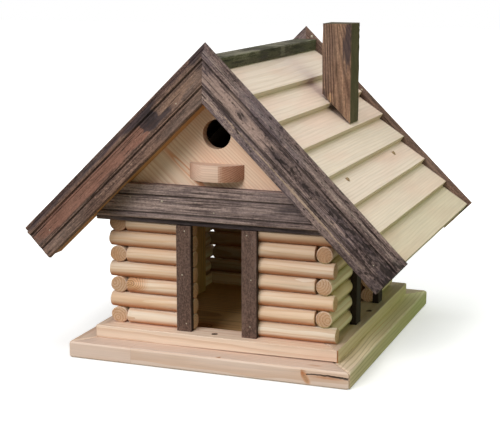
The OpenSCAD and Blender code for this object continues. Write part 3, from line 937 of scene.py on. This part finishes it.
def stackAlongX(name, node, wallY, butts, flat=None):
    # courses along X: butts says, for each end, where a butted course stops and whether the even ones butt
    low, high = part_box(node)
    boards = []
    for row in range(logs["rows"]):
        z, radius = rowHeight(low, high, row)
        start = low.x + (logs["leftEnds"][row] if low.x < -100 * mm else 0) * mm
        end = high.x - (logs["rightEnds"][row] if high.x > 100 * mm else 0) * mm
        even = row % 2 == 0
        if butts[0] and even == butts[0][1]:
            start = butts[0][0]
        if butts[1] and even == butts[1][1]:
            end = butts[1][0]
        looks = logLook(row)
        if node == "front_logs_left" and row == logs["knotRow"]:
            x, dz = logs["knotAt"]
            looks["knot"] = ((x - (start + end) / 2, dz), logs["knotSize"])
        boards.append(dowel(start, end, (0, wallY, z), radius, "X", flat, looks))
    if node == "back_logs":
        for bm in boards:
            shadeFaces(bm, (Vector((0, -1, 0)), logs["inShade"]))
    return piece(name, boards, "log", [node], 40)


def stackAlongY(name, node, wallX, butt, flat):
    # side courses: those that run through end in full view, a touch fatter
    low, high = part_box(node)
    station, evenButts, atEnd = butt
    boards = []
    for row in range(logs["rows"]):
        z, radius = rowHeight(low, high, row)
        start, end = low.y, high.y
        if (row % 2 == 0) == evenButts:
            start, end = (start, station) if atEnd else (station, end)
        widen = None
        if not atEnd and (row % 2 == 0) != evenButts:
            widen = (wallX + radius, logs["leftOval"] if wallX < 0 else 1.0)
        boards.append(dowel(start, end, (wallX, 0, z), radius, "Y", flat, logLook(row), widen))
    return piece(name, boards, "grassLitLog" if wallX > 0 else "log", [node], 40)


def buildWalls():
    sideLow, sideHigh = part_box("right_logs_front")
    wallY = (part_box("back_logs")[0].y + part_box("back_logs")[1].y) / 2
    wallX = (sideLow.x + sideHigh.x) / 2
    radius = (sideHigh.x - sideLow.x) / 2
    innerX = wallX - radius - logs["buttGap"]
    innerY = wallY - radius - logs["buttGap"]
    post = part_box("front_post_right")
    seatY = post[1].y + 0.1 * mm
    rightFlat = (post[0].x, post[1].x, 1, seatY, -1)
    leftFlat = (-post[1].x, -post[0].x, 1, seatY, -1)
    stackAlongX("frontLogsRight", "front_logs_right", -wallY, (None, (innerX, False)), rightFlat)
    stackAlongX("frontLogsLeft", "front_logs_left", -wallY, ((-innerX, True), None), leftFlat)
    stackAlongX("backLogs", "back_logs", wallY, ((-innerX, False), (innerX, True)))
    for side, sign in (("right", 1), ("left", -1)):
        for part, atEnd in (("front", False), ("back", True)):
            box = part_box(f"{side}_post_{part}")
            seat = (box[0].x if sign > 0 else box[1].x) + sign * -0.1 * mm
            flat = (box[0].y, box[1].y, 0, seat, sign)
            even = (side == "right") != atEnd
            butt = (innerY if atEnd else -innerY, even, atEnd)
            stackAlongY(f"{side}Logs{part.title()}", f"{side}_logs_{part}", sign * wallX, butt, flat)
        node = f"{side}_plate_logs"
        low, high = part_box(node)
        step = (high.z - low.z + logs["gap"]) / 2
        boards = []
        for k in range(2):
            z = low.z - logs["gap"] / 2 + (k + 0.5) * step
            middle = (sign * wallX, 0, z)
            boards.append(dowel(low.y, high.y, middle, step / 2 - logs["gap"] / 2, "Y", looks=logLook(k)))
        piece(f"{side}PlateLogs", boards, "grassLitLog" if sign > 0 else "log", [node], 40)


buildWalls()
print("log walls done")


doorways = {
    "rightNails": (157.7 * mm, 105.1 * mm, 49 * mm), "leftNails": (157 * mm, 104 * mm, 45 * mm),
    "nailRadius": 0.9 * mm, "sideShade": 0.75,
}


def simpleBoard(name, node, along, face, finish, slot, ease=0.7 * mm, shaded=None, **looks):
    low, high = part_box(node)
    bm = slab(low, high, ease=ease)
    markWood(bm, along, face, anyPith(), **looks)
    if shaded:
        shadeFaces(bm, *((axis, doorways["sideShade"]) for axis in shaded))
    return piece(name, [bm], finish, [node])


def buildDoorways():
    for side in ("left", "right"):
        simpleBoard(f"frontPost{side.title()}", f"front_post_{side}", "Z", "Y", "post", "dark_trim",
                    shaded=[Vector((1, 0, 0))], tone=0.04 if side == "right" else -0.05)
        low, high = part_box(f"front_post_{side}")
        middle = (low.x + high.x) / 2
        spots = [Vector((middle + chance.uniform(-3, 3) * mm, low.y, z)) for z in doorways[side + "Nails"]]
        nails = [nailHead(place, towardsFront, doorways["nailRadius"]) for place in spots]
        piece(f"frontPostNails{side.title()}", nails, "steel", smooth=60)
        for part in ("front", "back"):
            simpleBoard(f"{side}Post{part.title()}", f"{side}_post_{part}", "Z", "X", "post", "dark_trim",
                        shaded=[Vector((0, -1, 0)), Vector((1, 0, 0))], tone=chance.uniform(-0.6, -0.5))
        node = f"{side}_inner_battens"
        low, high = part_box(node)
        gapLow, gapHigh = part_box(f"{side}_post_front")[1].y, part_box(f"{side}_post_back")[0].y
        boards = []
        for start, end in ((low.y, gapLow), (gapHigh, high.y)):
            bm = slab((low.x, start, low.z), (high.x, end, high.z), ease=0.6 * mm)
            markWood(bm, "Z", "X", anyPith(), tone=chance.uniform(-0.1, 0))
            boards.append(bm)
        piece(f"{side}InnerBattens", boards, "room", [node])


buildDoorways()
print("doorways done")


gables = {
    "ease": 0.5 * mm, "grainTurn": math.radians(41), "inShade": 0.85,
    "bandAt": (-38 * mm, 229 * mm),   # middle of the warm streak below and left of the perch
}


def roofLine():
    # the apex and the right eave end of the bargeboards' top edge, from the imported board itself
    corners = [v.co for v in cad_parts["front_bargeboard_right"].data.vertices]
    apex = max(corners, key=lambda p: p.z - abs(p.x))
    tip = max(corners, key=lambda p: p.x + p.z * 0.01)
    fall = apex.z - tip.z
    return Vector((0, 0, apex.z)), math.atan2(fall, tip.x - apex.x), math.hypot(tip.x, fall)


peak, pitch, slopeLength = roofLine()


def gableBoard(node, holeAt=None, holeRadius=0.0):
    low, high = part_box(node)
    shoulder = max((v.co.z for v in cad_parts[node].data.vertices if abs(v.co.x) > high.x - 1 * mm))
    outline = [(low.x, low.z), (high.x, low.z), (high.x, shoulder), (0, high.z), (low.x, shoulder)]
    bm = sweptOutline(outline, "Y", low.y, high.y)
    return bored(bm, holeAt, holeRadius, "Y") if holeAt else bm


def turnedGrain(bm, turn, centre, **looks):
    # marks the wood as if it had been sawn at an angle to the board
    spin = Matrix.Translation(centre) @ Matrix.Rotation(turn, 4, "Y") @ Matrix.Translation(-centre)
    moved(bm, spin.inverted())
    markWood(bm, "X", "Y", middle=centre, **looks)
    moved(bm, spin)
    bm.normal_update()
    return bm


def buildGables():
    low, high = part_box("front_gable")
    holes = [v.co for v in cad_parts["front_gable"].data.vertices]
    holeTop = max(p.z for p in holes if abs(p.x) < 40 * mm and p.z < high.z - 20 * mm)
    holeFoot = min(p.z for p in holes if abs(p.x) < 40 * mm and p.z > low.z + 20 * mm)
    centre = Vector((0, (low.y + high.y) / 2, (holeTop + holeFoot) / 2))
    front = gableBoard("front_gable", centre, (holeTop - holeFoot) / 2)
    easeEdges(front, sharpEdges(front, 60), gables["ease"])
    x, z = gables["bandAt"]
    turnedGrain(
        front, gables["grainTurn"], Vector((x, low.y, z)), pith=(0.012, 0.020), knot=((0, 0), 2.2 * mm))
    shadeFaces(front, (Vector((0, 1, 0)), gables["inShade"]))
    piece("frontGable", [front], "panel", ["front_gable"])
    back = gableBoard("back_gable")
    easeEdges(back, back.edges[:], gables["ease"])
    low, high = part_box("back_gable")
    turnedGrain(back, -gables["grainTurn"], Vector((0, high.y, centre.z)), pith=(0.06, 0.02))
    shadeFaces(back, (Vector((0, -1, 0)), gables["inShade"]))
    piece("backGable", [back], "panel", ["back_gable"])
    simpleBoard("loftFloor", "loft_floor", "X", "Z", "room", "pine_panel", ease=0.4 * mm)


buildGables()


perch = {
    "endRadius": 38 * mm, "frontHalf": 9.5 * mm, "cornerRadius": 6 * mm, "ease": 0.7 * mm,
    "nails": ((-23.8 * mm, 232.5 * mm), (20.3 * mm, 230.7 * mm)), "nailRadius": 0.8 * mm,
}


def buildPerch():
    low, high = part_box("perch")
    half, wall = (high.x - low.x) / 2, high.y
    # each end is one shallow arc from the wall to the flat front
    first, second = Vector((half, wall)), Vector((perch["frontHalf"], low.y))
    chord = second - first
    rise = math.sqrt(perch["endRadius"] ** 2 - (chord.length / 2) ** 2)
    hub = (first + second) / 2 + Vector((-chord.y, chord.x)).normalized() * -rise
    if (hub - Vector((0, wall))).length > (first + second).length:
        hub = (first + second) / 2 + Vector((-chord.y, chord.x)).normalized() * rise
    angles = [math.atan2(p.y - hub.y, p.x - hub.x) for p in (first, second)]
    right = arc(hub, perch["endRadius"], angles[0], angles[1], 14)
    plan = right + [(-x, y) for x, y in right[::-1]]
    body = sweptOutline(plan, "Z", low.z, high.z)
    c = perch["cornerRadius"]
    face = [(half, high.z + mm), (-half, high.z + mm)]
    face += arc((c - half, low.z + c), c, -math.pi, -math.pi / 2, 8)
    face += arc((half - c, low.z + c), c, -math.pi / 2, 0, 8)
    cutter = sweptOutline(face, "Y", low.y - mm, high.y + mm)
    bm = carved(body, cutter, "INTERSECT")
    bmesh.ops.remove_doubles(bm, verts=bm.verts, dist=1e-6)
    easeEdges(bm, sharpEdges(bm, 50), perch["ease"])
    markWood(bm, "X", "Y", (70 * mm, -60 * mm), tone=0.0, middle=(0, low.y, (low.z + high.z) / 2))
    endGrain = bm.faces.layers.float["endCut"]
    for f in bm.faces:
        if f.calc_center_median().x > perch["frontHalf"] and f.normal.x > 0.1:
            f[endGrain] = min(1.0, (f.normal.x - 0.1) * 3)
    piece("perch", [bm], "perch", ["perch"], 30)
    nails = []
    for x, z in perch["nails"]:
        y = low.y if abs(x) < perch["frontHalf"] else low.y + (abs(x) - perch["frontHalf"]) * 0.62
        nails.append(nailHead(Vector((x, y, z)), towardsFront, perch["nailRadius"]))
    piece("perchNails", nails, "screw", smooth=60)


buildPerch()
print("gables and perch done")


trim = {
    "width": 47.9 * mm, "thick": 11 * mm, "tongueWidth": 5.3 * mm, "tongueThick": 3 * mm,
    "slope": 3.2 * mm, "grooves": (13.5 * mm, 34.6 * mm), "grooveWidth": 3 * mm, "grooveDeep": 2.2 * mm,
    "fineLines": (16.9 * mm, 31.4 * mm), "fineWidth": 1.1 * mm, "fineDeep": 0.55 * mm,
    "bead": (29 * mm, 33 * mm), "sunk": 0.45 * mm, "tongueRidge": 1.75 * mm,
    "across": 96, "lengthStep": 2.5 * mm, "relief": 0.4 * mm, "pits": 0.8 * mm,
    "nailRadius": 0.8 * mm, "roundOver": 1.0 * mm, "pitFrom": 0.42,
}


def trimHeight(y):
    # thickness of the moulded board at a distance in from its tongue's edge
    t = trim
    if y < t["tongueWidth"]:
        height = t["tongueThick"] - 0.22 * mm * (1 - math.cos(y / t["tongueRidge"] * 2 * math.pi))
    elif y < t["tongueWidth"] + t["slope"]:
        share = (y - t["tongueWidth"]) / t["slope"]
        height = t["tongueThick"] + (t["thick"] - t["tongueThick"]) * math.sin(share * math.pi / 2)
    else:
        height = t["thick"]
    if t["grooves"][0] < y < t["bead"][0]:
        height -= t["sunk"] * min(1.0, (t["bead"][0] - y) / (1.2 * mm))
    deepLines = t["grooves"], t["grooveWidth"], t["grooveDeep"], 1.5
    fineLines = t["fineLines"], t["fineWidth"], t["fineDeep"], 1
    for places, wide, deep, power in (deepLines, fineLines):
        for place in places:
            away = abs(y - place) / (wide / 2)
            if away < 1:
                height -= deep * (1 - away ** power)
    roundOver = t["roundOver"]
    for edge in (y, t["width"] - y):
        if edge < roundOver:
            height -= roundOver - math.sqrt(max(0, roundOver ** 2 - (roundOver - edge) ** 2))
    return height


def trimBoard(low, length, cuts, seed, spots=(), pitted=0.0):
    # moulded board along X, tongue's edge at y 0, back at z 0, its face weathered into ridges and pits
    stations = [trim["width"] * k / trim["across"] for k in range(trim["across"] + 1)]
    outline = [(y, trimHeight(y)) for y in stations] + [(trim["width"], 0), (0, 0)]
    bm = sweptOutline(outline, "X", low, length)
    for point, outward in cuts:
        sawOff(bm, point, outward)
    combed(bm, 0, low, length, trim["lengthStep"])
    groove = bm.verts.layers.float.new("groove")
    for v in bm.verts:
        x, y, z = v.co
        wide = min(abs(y - g) / (trim["grooveWidth"] / 2) for g in trim["grooves"])
        fine = min(abs(y - g) / (trim["fineWidth"] / 2) for g in trim["fineLines"])
        v[groove] = max(0.0, 1 - wide * 0.95, 0.6 - fine * 0.5) if z > trim["thick"] * 0.5 else 0.0
        if z > 1 * mm:
            streak = noise.fractal(Vector((x * 14 + seed, y * 420, 3.0)), 0.7, 2.0, 3)
            broad = noise.noise(Vector((x * 5 + seed, y * 90, 8.0)))
            pit = max(0.0, noise.noise(Vector((x * 150 + seed, y * 330, 5.0))) - trim["pitFrom"]) * 4 * pitted
            pit *= 1.4 if noise.noise(Vector((x * 16 + seed, y * 50, 1.0))) > 0.05 else 0.35
            v[groove] = max(v[groove], min(0.9, pit))
            worn = min(1.6, max(0.0, 0.5 + streak * 0.8 + broad * 0.4))
            v.co.z -= trim["relief"] * worn + trim["pits"] * min(1, pit)
    blotches = []
    for x, y, reachX, reachY, amount in spots:
        blotches.append(((x * mm, y * mm, 8 * mm), (reachX * mm, reachY * mm, 40 * mm), amount))
    stain(bm, blotches)
    return bm


def slopePlace(hand, y, lean):
    # from a bargeboard's own frame to the gable: x down the slope, y in from the edge, z out of the gable
    down = math.cos(pitch + lean), math.sin(pitch + lean)
    columns = (
        Vector((hand * down[0], 0, -down[1])), Vector((-hand * down[1], 0, -down[0])),
        Vector((0, -1 if y < 0 else 1, 0)))
    return standing(columns, Vector((0, y, peak.z)))


plainBoard = {
    "end": 329.1, "skew": 0, "bevel": 0, "lean": 0, "finish": "darkTrim", "pitted": 0.3, "spots": (),
    "nails": (),
}
# each bargeboard: how far its sawn end slopes across and through it, its own lean, and its blotches as
# along, across, reach along, reach across and how rusty, sooty and worn, in mm
bargeboards = {
    "front_left": {
        "end": 323.3, "skew": 0.012, "bevel": 0.39, "lean": -0.45, "finish": "redTrim", "pitted": 0.15,
        "spots": (
            (200, 22, 120, 13, (0.9, 0, 0)), (285, 22, 70, 13, (0.8, 0, 0)), (134, 22, 22, 11, (0.7, 0, 0)),
            (109, 19, 16, 12, (0, 1.5, 0)), (118, 9, 34, 6, (0, 0.8, 0)), (92, 27, 26, 5, (0, 0.5, 0)),
            (66, 22, 38, 9, (-0.8, 0, 0.3)), (250, 4, 130, 8, (0, 0.6, 0)), (60, 4, 90, 8, (0, 0.5, 0)),
            (12, 20, 22, 34, (0, 0.4, 0)), (150, 6, 80, 6, (0.5, 0.3, 0)), (310, 22, 20, 20, (0, 0.25, 0)),
            (230, 41, 110, 7, (0, 0.15, 0.4)),
        ),
        "nails": ((70.3, 27.1), (298, 25.5)),
    },
    "front_right": {
        "end": 329.1, "skew": -0.045, "bevel": 0.1, "lean": 0.35, "finish": "darkTrim", "pitted": 0.75,
        "spots": (
            (70, 24, 90, 13, (0.9, 0, 0.2)), (70, 11, 100, 6, (0.3, 0, 0.5)), (70, 42, 80, 7, (0.2, 0, 0.6)),
            (180, 19, 40, 7, (0, 0.3, 0)), (112, 40, 22, 5, (0, 0.4, 0)),
            (235, 28, 80, 10, (0.5, 0, 0.4)), (206, 38, 34, 5, (0.3, 0, 0.7)), (300, 24, 50, 14, (0, 0.5, 0)),
            (270, 18, 80, 6, (0, 0.5, 0)), (290, 42, 60, 8, (0, 0.45, 0)), (160, 3, 170, 5, (0, 0.35, 0)),
            (325, 20, 14, 40, (0, 0.6, 0)), (200, 38.5, 150, 1.6, (0.5, 0, 1.6)),
            (150, 25, 22, 6, (0, 0.9, 0)), (232, 21, 34, 5, (0, 0.8, 0)), (88, 23, 14, 5, (0, 0.7, 0)),
            (198, 25, 20, 4, (0, 0.8, 0)),
        ),
        "nails": ((306.6, 26.6),),
    },
    "back_left": plainBoard,
    "back_right": dict(plainBoard, finish="redTrim"),
}
lintels = {
    "drop": 42.9 * mm,    # from the roof's top line to the lintel's sloping ends
    "spots": (
        (-60, 30, 60, 9, (0, 0, 0.5)), (70, 24, 90, 8, (0, 0, 0.3)), (110, 30, 80, 30, (0, 0.35, 0)),
        # the spot at 0, 2 darkens the tongue along the lintel's lower edge: painted shade on the recessed lap
        (-130, 22, 34, 26, (0, 0.2, 0)), (20, 18, 70, 6, (0, 0.3, 0)), (0, 2, 170, 6, (0, 1.1, 0)),
        (120, 30, 40, 16, (0, 0.2, 0)),
    ),
    "pitted": 0.2,
    "nails": ((-65.3, 192, 1.5), (-105.8, 194.7, 1.1), (-22.9, 193, 0.9), (0.1, 182.2, 0.9)),
    "backFlecks": ((8.4, 365.2, 2.0), (80.1, 295.3, 1.4)),   # on the back bargeboards' inner faces
}


def buildBargeboards():
    s, c = math.sin(pitch), math.cos(pitch)
    for k, (key, looks) in enumerate(bargeboards.items()):
        end, side = key.split("_")
        node = f"{end}_bargeboard_{side}"
        low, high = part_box(node)
        backFace = high.y if end == "front" else low.y
        hand = -1 if side == "left" else 1
        tip = Vector((looks["end"] * mm, 0, trim["thick"]))
        sawn = Vector((1, looks["skew"], looks["bevel"])).normalized()
        cuts = [(Vector(), Vector((-c, s, 0))), (tip, sawn)]
        bm = trimBoard(0, looks["end"] * mm + 4 * mm, cuts, 2.0 + 7.3 * k, looks["spots"], looks["pitted"])
        markWood(bm, "X", "Z", anyPith(), tone=chance.uniform(-0.03, 0.03))
        place = slopePlace(hand, backFace, math.radians(looks["lean"]))
        moved(bm, place)
        sawOff(bm, Vector((hand * (cadBox[1][0] - 0.02 * mm), 0, 0)), Vector((hand, 0, 0)))
        keepInside(bm, cadBox)
        piece(f"{end}Bargeboard{side.title()}", [bm], looks["finish"], [node], 40)
        nails = []
        for x, y in looks["nails"]:
            middle = place @ Vector((x * mm, y * mm, trimHeight(y * mm) - 0.1 * mm))
            radius = trim["nailRadius"] * chance.uniform(0.8, 1.1)
            nails.append(nailHead(middle, towardsFront, radius, 0.5 * mm))
        if nails:
            piece(f"{end}Nails{side.title()}", nails, "steel", smooth=60)


def keepInside(bm, box):
    for v in bm.verts:
        for k in range(3):
            v.co[k] = min(max(v.co[k], box[0][k]), box[1][k])


def buildLintels():
    s, c = math.sin(pitch), math.cos(pitch)
    for k, end in enumerate(("front", "back")):
        low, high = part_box(f"{end}_lintel")
        backFace = high.y if end == "front" else low.y
        bm = trimBoard(low.x, high.x, [], 31.0 + 5 * k, lintels["spots"], lintels["pitted"])
        meet = peak.z - lintels["drop"] / c   # where the rafters' undersides would meet
        for hand in (-1, 1):
            sawOff(bm, Vector((0, meet - low.z, 0)), Vector((hand * s, c, 0)))
        markWood(bm, "X", "Z", anyPith())
        place = Matrix(((1, 0, 0), (0, 0, -1 if end == "front" else 1), (0, 1, 0))).to_4x4()
        place.translation = Vector((0, backFace, low.z))
        moved(bm, place)
        piece(f"{end}Lintel", [bm], "lintel", [f"{end}_lintel"], 40)
    nails = []
    onLintel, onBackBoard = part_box("front_lintel")[0].y + 0.5 * mm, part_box("back_bargeboard_right")[0].y
    for key, y, height in (("nails", onLintel, 0.55 * mm), ("backFlecks", onBackBoard, 0.4 * mm)):
        for x, z, radius in lintels[key]:
            nails.append(nailHead(Vector((x * mm, y, z * mm)), towardsFront, radius * mm, height))
    piece("trimNails", nails, "steel", smooth=60)


buildBargeboards()
buildLintels()
print("trim done")


roof = {
    "step": 41.5 * mm, "lap": 8.5 * mm, "thick": 8 * mm, "sink": 5 * mm, "eaveBack": 3 * mm, "count": 7,
    "ease": 0.5 * mm, "rafterTop": 22.7 * mm, "topWidth": 46.7 * mm,
    "screwBoard": 4, "screwUp": 30 * mm, "screws": (-109 * mm, 105 * mm), "screwHole": 3.4 * mm,
    # greens, board by board, are a painted green reflection of the grass, strongest at the eave
    "screwPlay": 0.7 * mm, "greens": (0, 0, 0, 0.05, 0, 0.1, 0.3), "footShade": 0.22, "underShade": 0.85,
}


def slopeFrame(sign):
    # x down the slope, y along the ridge, z square to the roof
    s, c = math.sin(pitch), math.cos(pitch)
    return standing((Vector((sign * c, 0, -s)), Vector((0, 1, 0)), Vector((sign * s, 0, c))), peak)


def buildRoof():
    tilt = math.atan2(roof["thick"], roof["step"])
    for side, sign in (("left", -1), ("right", 1)):
        low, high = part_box(f"{side}_roof_boards")
        boards = []
        for k in range(roof["count"]):
            foot = slopeLength - roof["eaveBack"] - (roof["count"] - 1 - k) * roof["step"]
            width = roof["topWidth"] if k == 0 else roof["step"] + roof["lap"] - 0.3 * mm
            gap = chance.uniform(0.1, 0.8) * mm
            bm = slab((-width, low.y + gap, -roof["thick"]), (0, high.y - gap, 0), ease=roof["ease"])
            corner = Matrix.Translation((foot - 0.1 * mm, 0, -roof["sink"] - 0.05 * mm))
            laid = slopeFrame(sign) @ (corner @ Matrix.Rotation(-tilt, 4, "Y"))
            if k == roof["screwBoard"] and side == "right":
                for j, y in enumerate(roof["screws"]):
                    spot = Vector((-roof["screwUp"], y, 0))
                    bm = bored(bm, spot, roof["screwHole"], "Z", 3 * mm)
                    turn = laid.to_3x3().to_4x4() @ Matrix.Rotation(0.3, 4, "Y")
                    centre = laid @ (spot + Vector((0, 0, 0.6 * mm)))
                    radius = roof["screwHole"] - roof["screwPlay"]
                    screwHead(f"roofScrew{j + 1}", centre, turn, radius, "rustyScrew")
            markWood(bm, "Y", "Z", anyPith(40 * mm, 90 * mm), tone=chance.uniform(-0.03, 0.03),
                     warmth=chance.uniform(-0.4, 0.6), green=roof["greens"][k])
            under, foot = (Vector((0, 0, -1)), roof["underShade"]), (Vector((1, 0, 0)), roof["footShade"])
            shadeFaces(bm, under, foot)
            moved(bm, laid)
            boards.append(bm)
        piece(f"{side}RoofBoards", boards, "roof", [f"{side}_roof_boards"])


# how far the rafters reach below the roof's top line, and their eased edges
rafters = {"ridgeDrop": 46.2 * mm, "eaveDrop": 42.2 * mm, "ease": 0.6 * mm}


def buildRafters():
    s, c = math.sin(pitch), math.cos(pitch)
    for side, sign in (("left", -1), ("right", 1)):
        for end in ("front", "back"):
            node = f"{end}_rafter_{side}"
            low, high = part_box(node)
            drop = rafters["ridgeDrop"]
            downward = Vector((drop - rafters["eaveDrop"], 0, -slopeLength)).normalized()
            cuts = [(Vector(), Vector((-c, 0, -s))), (Vector((0, 0, -drop)), downward)]
            top = (slopeLength, high.y, -roof["rafterTop"])
            bm = slab((-30 * mm, low.y, -drop - mm), top, cuts, rafters["ease"])
            markWood(bm, "X", "Z", anyPith())
            moved(bm, slopeFrame(sign))
            piece(f"{end}Rafter{side.title()}", [bm], "rafter", [node])


ridge = {
    "ease": 1.0 * mm,
    "spots": (
        ((0, 40 * mm, 355 * mm), (40 * mm, 14 * mm, 20 * mm), (0.9, 0, 0.4)),
        ((0, -80 * mm, 362 * mm), (40 * mm, 90 * mm, 3 * mm), (0.7, 0, 0.8)),
        ((0, 90 * mm, 362 * mm), (40 * mm, 90 * mm, 3 * mm), (0.7, 0, 0.8)),
        ((0, -30 * mm, 355 * mm), (40 * mm, 30 * mm, 20 * mm), (0, 0.6, 0)),
        ((0, 120 * mm, 355 * mm), (40 * mm, 40 * mm, 20 * mm), (0, 0.5, 0)),
    ),
}


def buildRidge():
    low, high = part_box("ridge_batten")
    bm = slab(low, high, ease=ridge["ease"])
    combed(bm, 1, low.y, high.y, 4 * mm)
    markWood(bm, "Y", "X", anyPith())
    stain(bm, ridge["spots"])
    piece("ridgeBatten", [bm], "ridge", ["ridge_batten"])


buildRafters()
buildRidge()
buildRoof()
print("roof done")


chimney = {
    "ease": 0.8 * mm, "footGap": 0.3 * mm, "cell": 1.0 * mm, "relief": 0.6 * mm, "ringGap": 3.3 * mm,
    "lean": 0.05, "swing": 0.6, "swingOver": 20 * mm, "calm": 14 * mm, "halvings": 12, "sideShade": 0.6,
    "knotUp": -92 * mm,
    "sooty": ((107, 374, 15, 36, 0.75), (101, 345, 8, 34, 0.4), (72, 303, 7, 9, 0.5)),
}


def chimneyRing(place, low, high):
    # 0 in the soft early wood to 1 on a hard dark ring: the lines lean, more and more to the right
    across, down = place.x - low.x, high.z - place.z
    start, reach = across - 50 * mm, 50 * mm
    for _ in range(chimney["halvings"]):   # where this line began at the chimney's top, by halving
        reach /= 2
        middle = start + reach
        swing = chimney["swing"] * min(1.0, max(0.0, (middle - chimney["calm"]) / chimney["swingOver"]))
        if middle + (chimney["lean"] + swing) * down < across:
            start = middle
    wobble = noise.noise(Vector((place.x * 30, place.y * 30, place.z * 12)))
    radius = start + 0.6 * (place.y - low.y) + 0.9 * mm * wobble
    share = (radius / chimney["ringGap"]) % 1
    return max(0.0, 1 - abs(share - 0.5) / 0.3) * (1.0 if start < chimney["calm"] else 0.6)


def buildChimney():
    low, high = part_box("chimney")
    s, c = math.sin(pitch), math.cos(pitch)
    point = peak - Vector((s, 0, c)) * (roof["sink"] - chimney["footGap"])
    bm = slab(low, high, [(point, Vector((-s, 0, -c)))], chimney["ease"])
    for axis in range(3):
        combed(bm, axis, low[axis], high[axis], chimney["cell"])
    markWood(bm, "Z", "Y", anyPith(), middle=((low.x + high.x) / 2, low.y, high.z))
    # painted shade: the right side is darkened towards the green check colour, a painted green reflection as
    # well
    shadeFaces(bm, (Vector((1, 0, 0)), chimney["sideShade"]))
    ring = bm.verts.layers.float.new("ring")
    bm.normal_update()
    for v in bm.verts:
        hard = chimneyRing(v.co, low, high)
        v[ring] = hard
        inset = min(abs(v.co[k] - side[k]) for k in (0, 1) for side in (low, high))
        if inset < chimney["ease"] and abs(v.normal.z) < 0.5:
            v.co -= Vector((v.normal.x, v.normal.y, 0)) * chimney["relief"] * (1 - hard)
    knot = (low.x + 11 * mm, low.y, high.z + chimney["knotUp"])
    spots = [(knot, (3.5 * mm, 4 * mm, 9 * mm), (1.3, 0, 0.9))]
    for x, z, reachX, reachZ, soot in chimney["sooty"]:
        spots.append(((x * mm, low.y, z * mm), (reachX * mm, 4 * mm, reachZ * mm), (0, soot, 0)))
    stain(bm, spots)
    piece("chimney", [bm], "chimney", ["chimney"])


buildChimney()
print("chimney done")


stage = {
    "size": 14.0,
    "bounce": linear(156, 154, 140),     # what the garden floor throws back at the wood
    "white": linear(236, 236, 236), "glow": (0.44, 0.44, 0.44), "fadeFrom": 0.4, "fadeTo": 1.2,
}
world = {"ambient": linear(124, 124, 122), "white": (1.0, 1.0, 1.0)}
lamps = {
    "keyLamp": {"place": (-0.75, -2.6, 1.9), "size": (1.9, 1.5), "power": 72, "colour": (1.0, 0.985, 0.965)},
    "skyLamp": {"place": (0.35, 0.1, 2.9), "size": (2.6, 2.6), "power": 52, "colour": (0.97, 0.99, 1.0)},
    "grassLamp": {"place": (2.3, 0.1, 0.4), "size": (3.4, 1.2), "power": 19, "colour": (0.62, 0.82, 0.32)},
}


def buildStage():
    bm = bmesh.new()
    bmesh.ops.create_grid(bm, x_segments=1, y_segments=1, size=stage["size"] / 2)
    bmesh.ops.translate(bm, vec=(0, 0, -0.2 * mm), verts=bm.verts)
    mesh = bpy.data.meshes.new("studioFloor")
    bm.to_mesh(mesh)
    bm.free()
    floor = added("studioFloor", mesh)
    finish = Finish("paleFloor")
    seen = finish.node("ShaderNodeLightPath", out="Is Camera Ray")
    colour = finish.blend(seen, stage["bounce"], stage["white"])
    place = finish.node("ShaderNodeTexCoord", out="Object")
    away = finish.node("ShaderNodeVectorMath", {"operation": "LENGTH"}, {0: place}, out="Value")
    far = finish.rise(away, stage["fadeFrom"], stage["fadeTo"])
    glow = finish.blend(far, stage["glow"], (1.0, 1.0, 1.0))
    finish.coat({
        "Base Color": colour, "Emission Color": finish.blend(seen, (0.0, 0.0, 0.0), glow),
        "Emission Strength": 1.0, "Roughness": 0.9, "Specular IOR Level": 0.0,
    })
    mesh.materials.append(finish.material)


def buildWorld():
    made = bpy.data.worlds.new("studio")
    bpy.context.scene.world = made
    made.use_nodes = True
    nodes = Nodes(made.node_tree)
    rays = nodes.node("ShaderNodeLightPath", out=("Is Camera Ray", "Is Transmission Ray"))
    colour = nodes.blend(nodes.maths("MAXIMUM", *rays), world["ambient"], world["white"])
    nodes.feed(nodes.tree.nodes["Background"].inputs["Color"], colour)


def buildLight():
    for name, looks in lamps.items():
        lamp = bpy.data.lights.new(name, "AREA")
        lamp.shape = "RECTANGLE"
        lamp.size, lamp.size_y = looks["size"]
        lamp.energy = looks["power"]
        lamp.color = looks["colour"]
        made = added(name, lamp)
        made.location = looks["place"]
        aim = Vector((0, 0, 0.15)) - Vector(looks["place"])
        made.rotation_euler = aim.to_track_quat("-Z", "Y").to_euler()


camera = {"place": (0.54324, -1.50051, 0.47185), "tilt": -11.53, "turn": 20.39, "lens": 92.2}


def buildCamera():
    lens = bpy.data.cameras.new("camera")
    lens.lens = camera["lens"]
    lens.sensor_width = 36
    lens.clip_start, lens.clip_end = 0.05, 50
    made = added("camera", lens)
    made.location = camera["place"]
    made.rotation_euler = (math.radians(90 + camera["tilt"]), 0, math.radians(camera["turn"]))
    bpy.context.scene.camera = made


buildStage()
buildWorld()
buildLight()
buildCamera()
bpy.context.scene.view_settings.view_transform = "Standard"
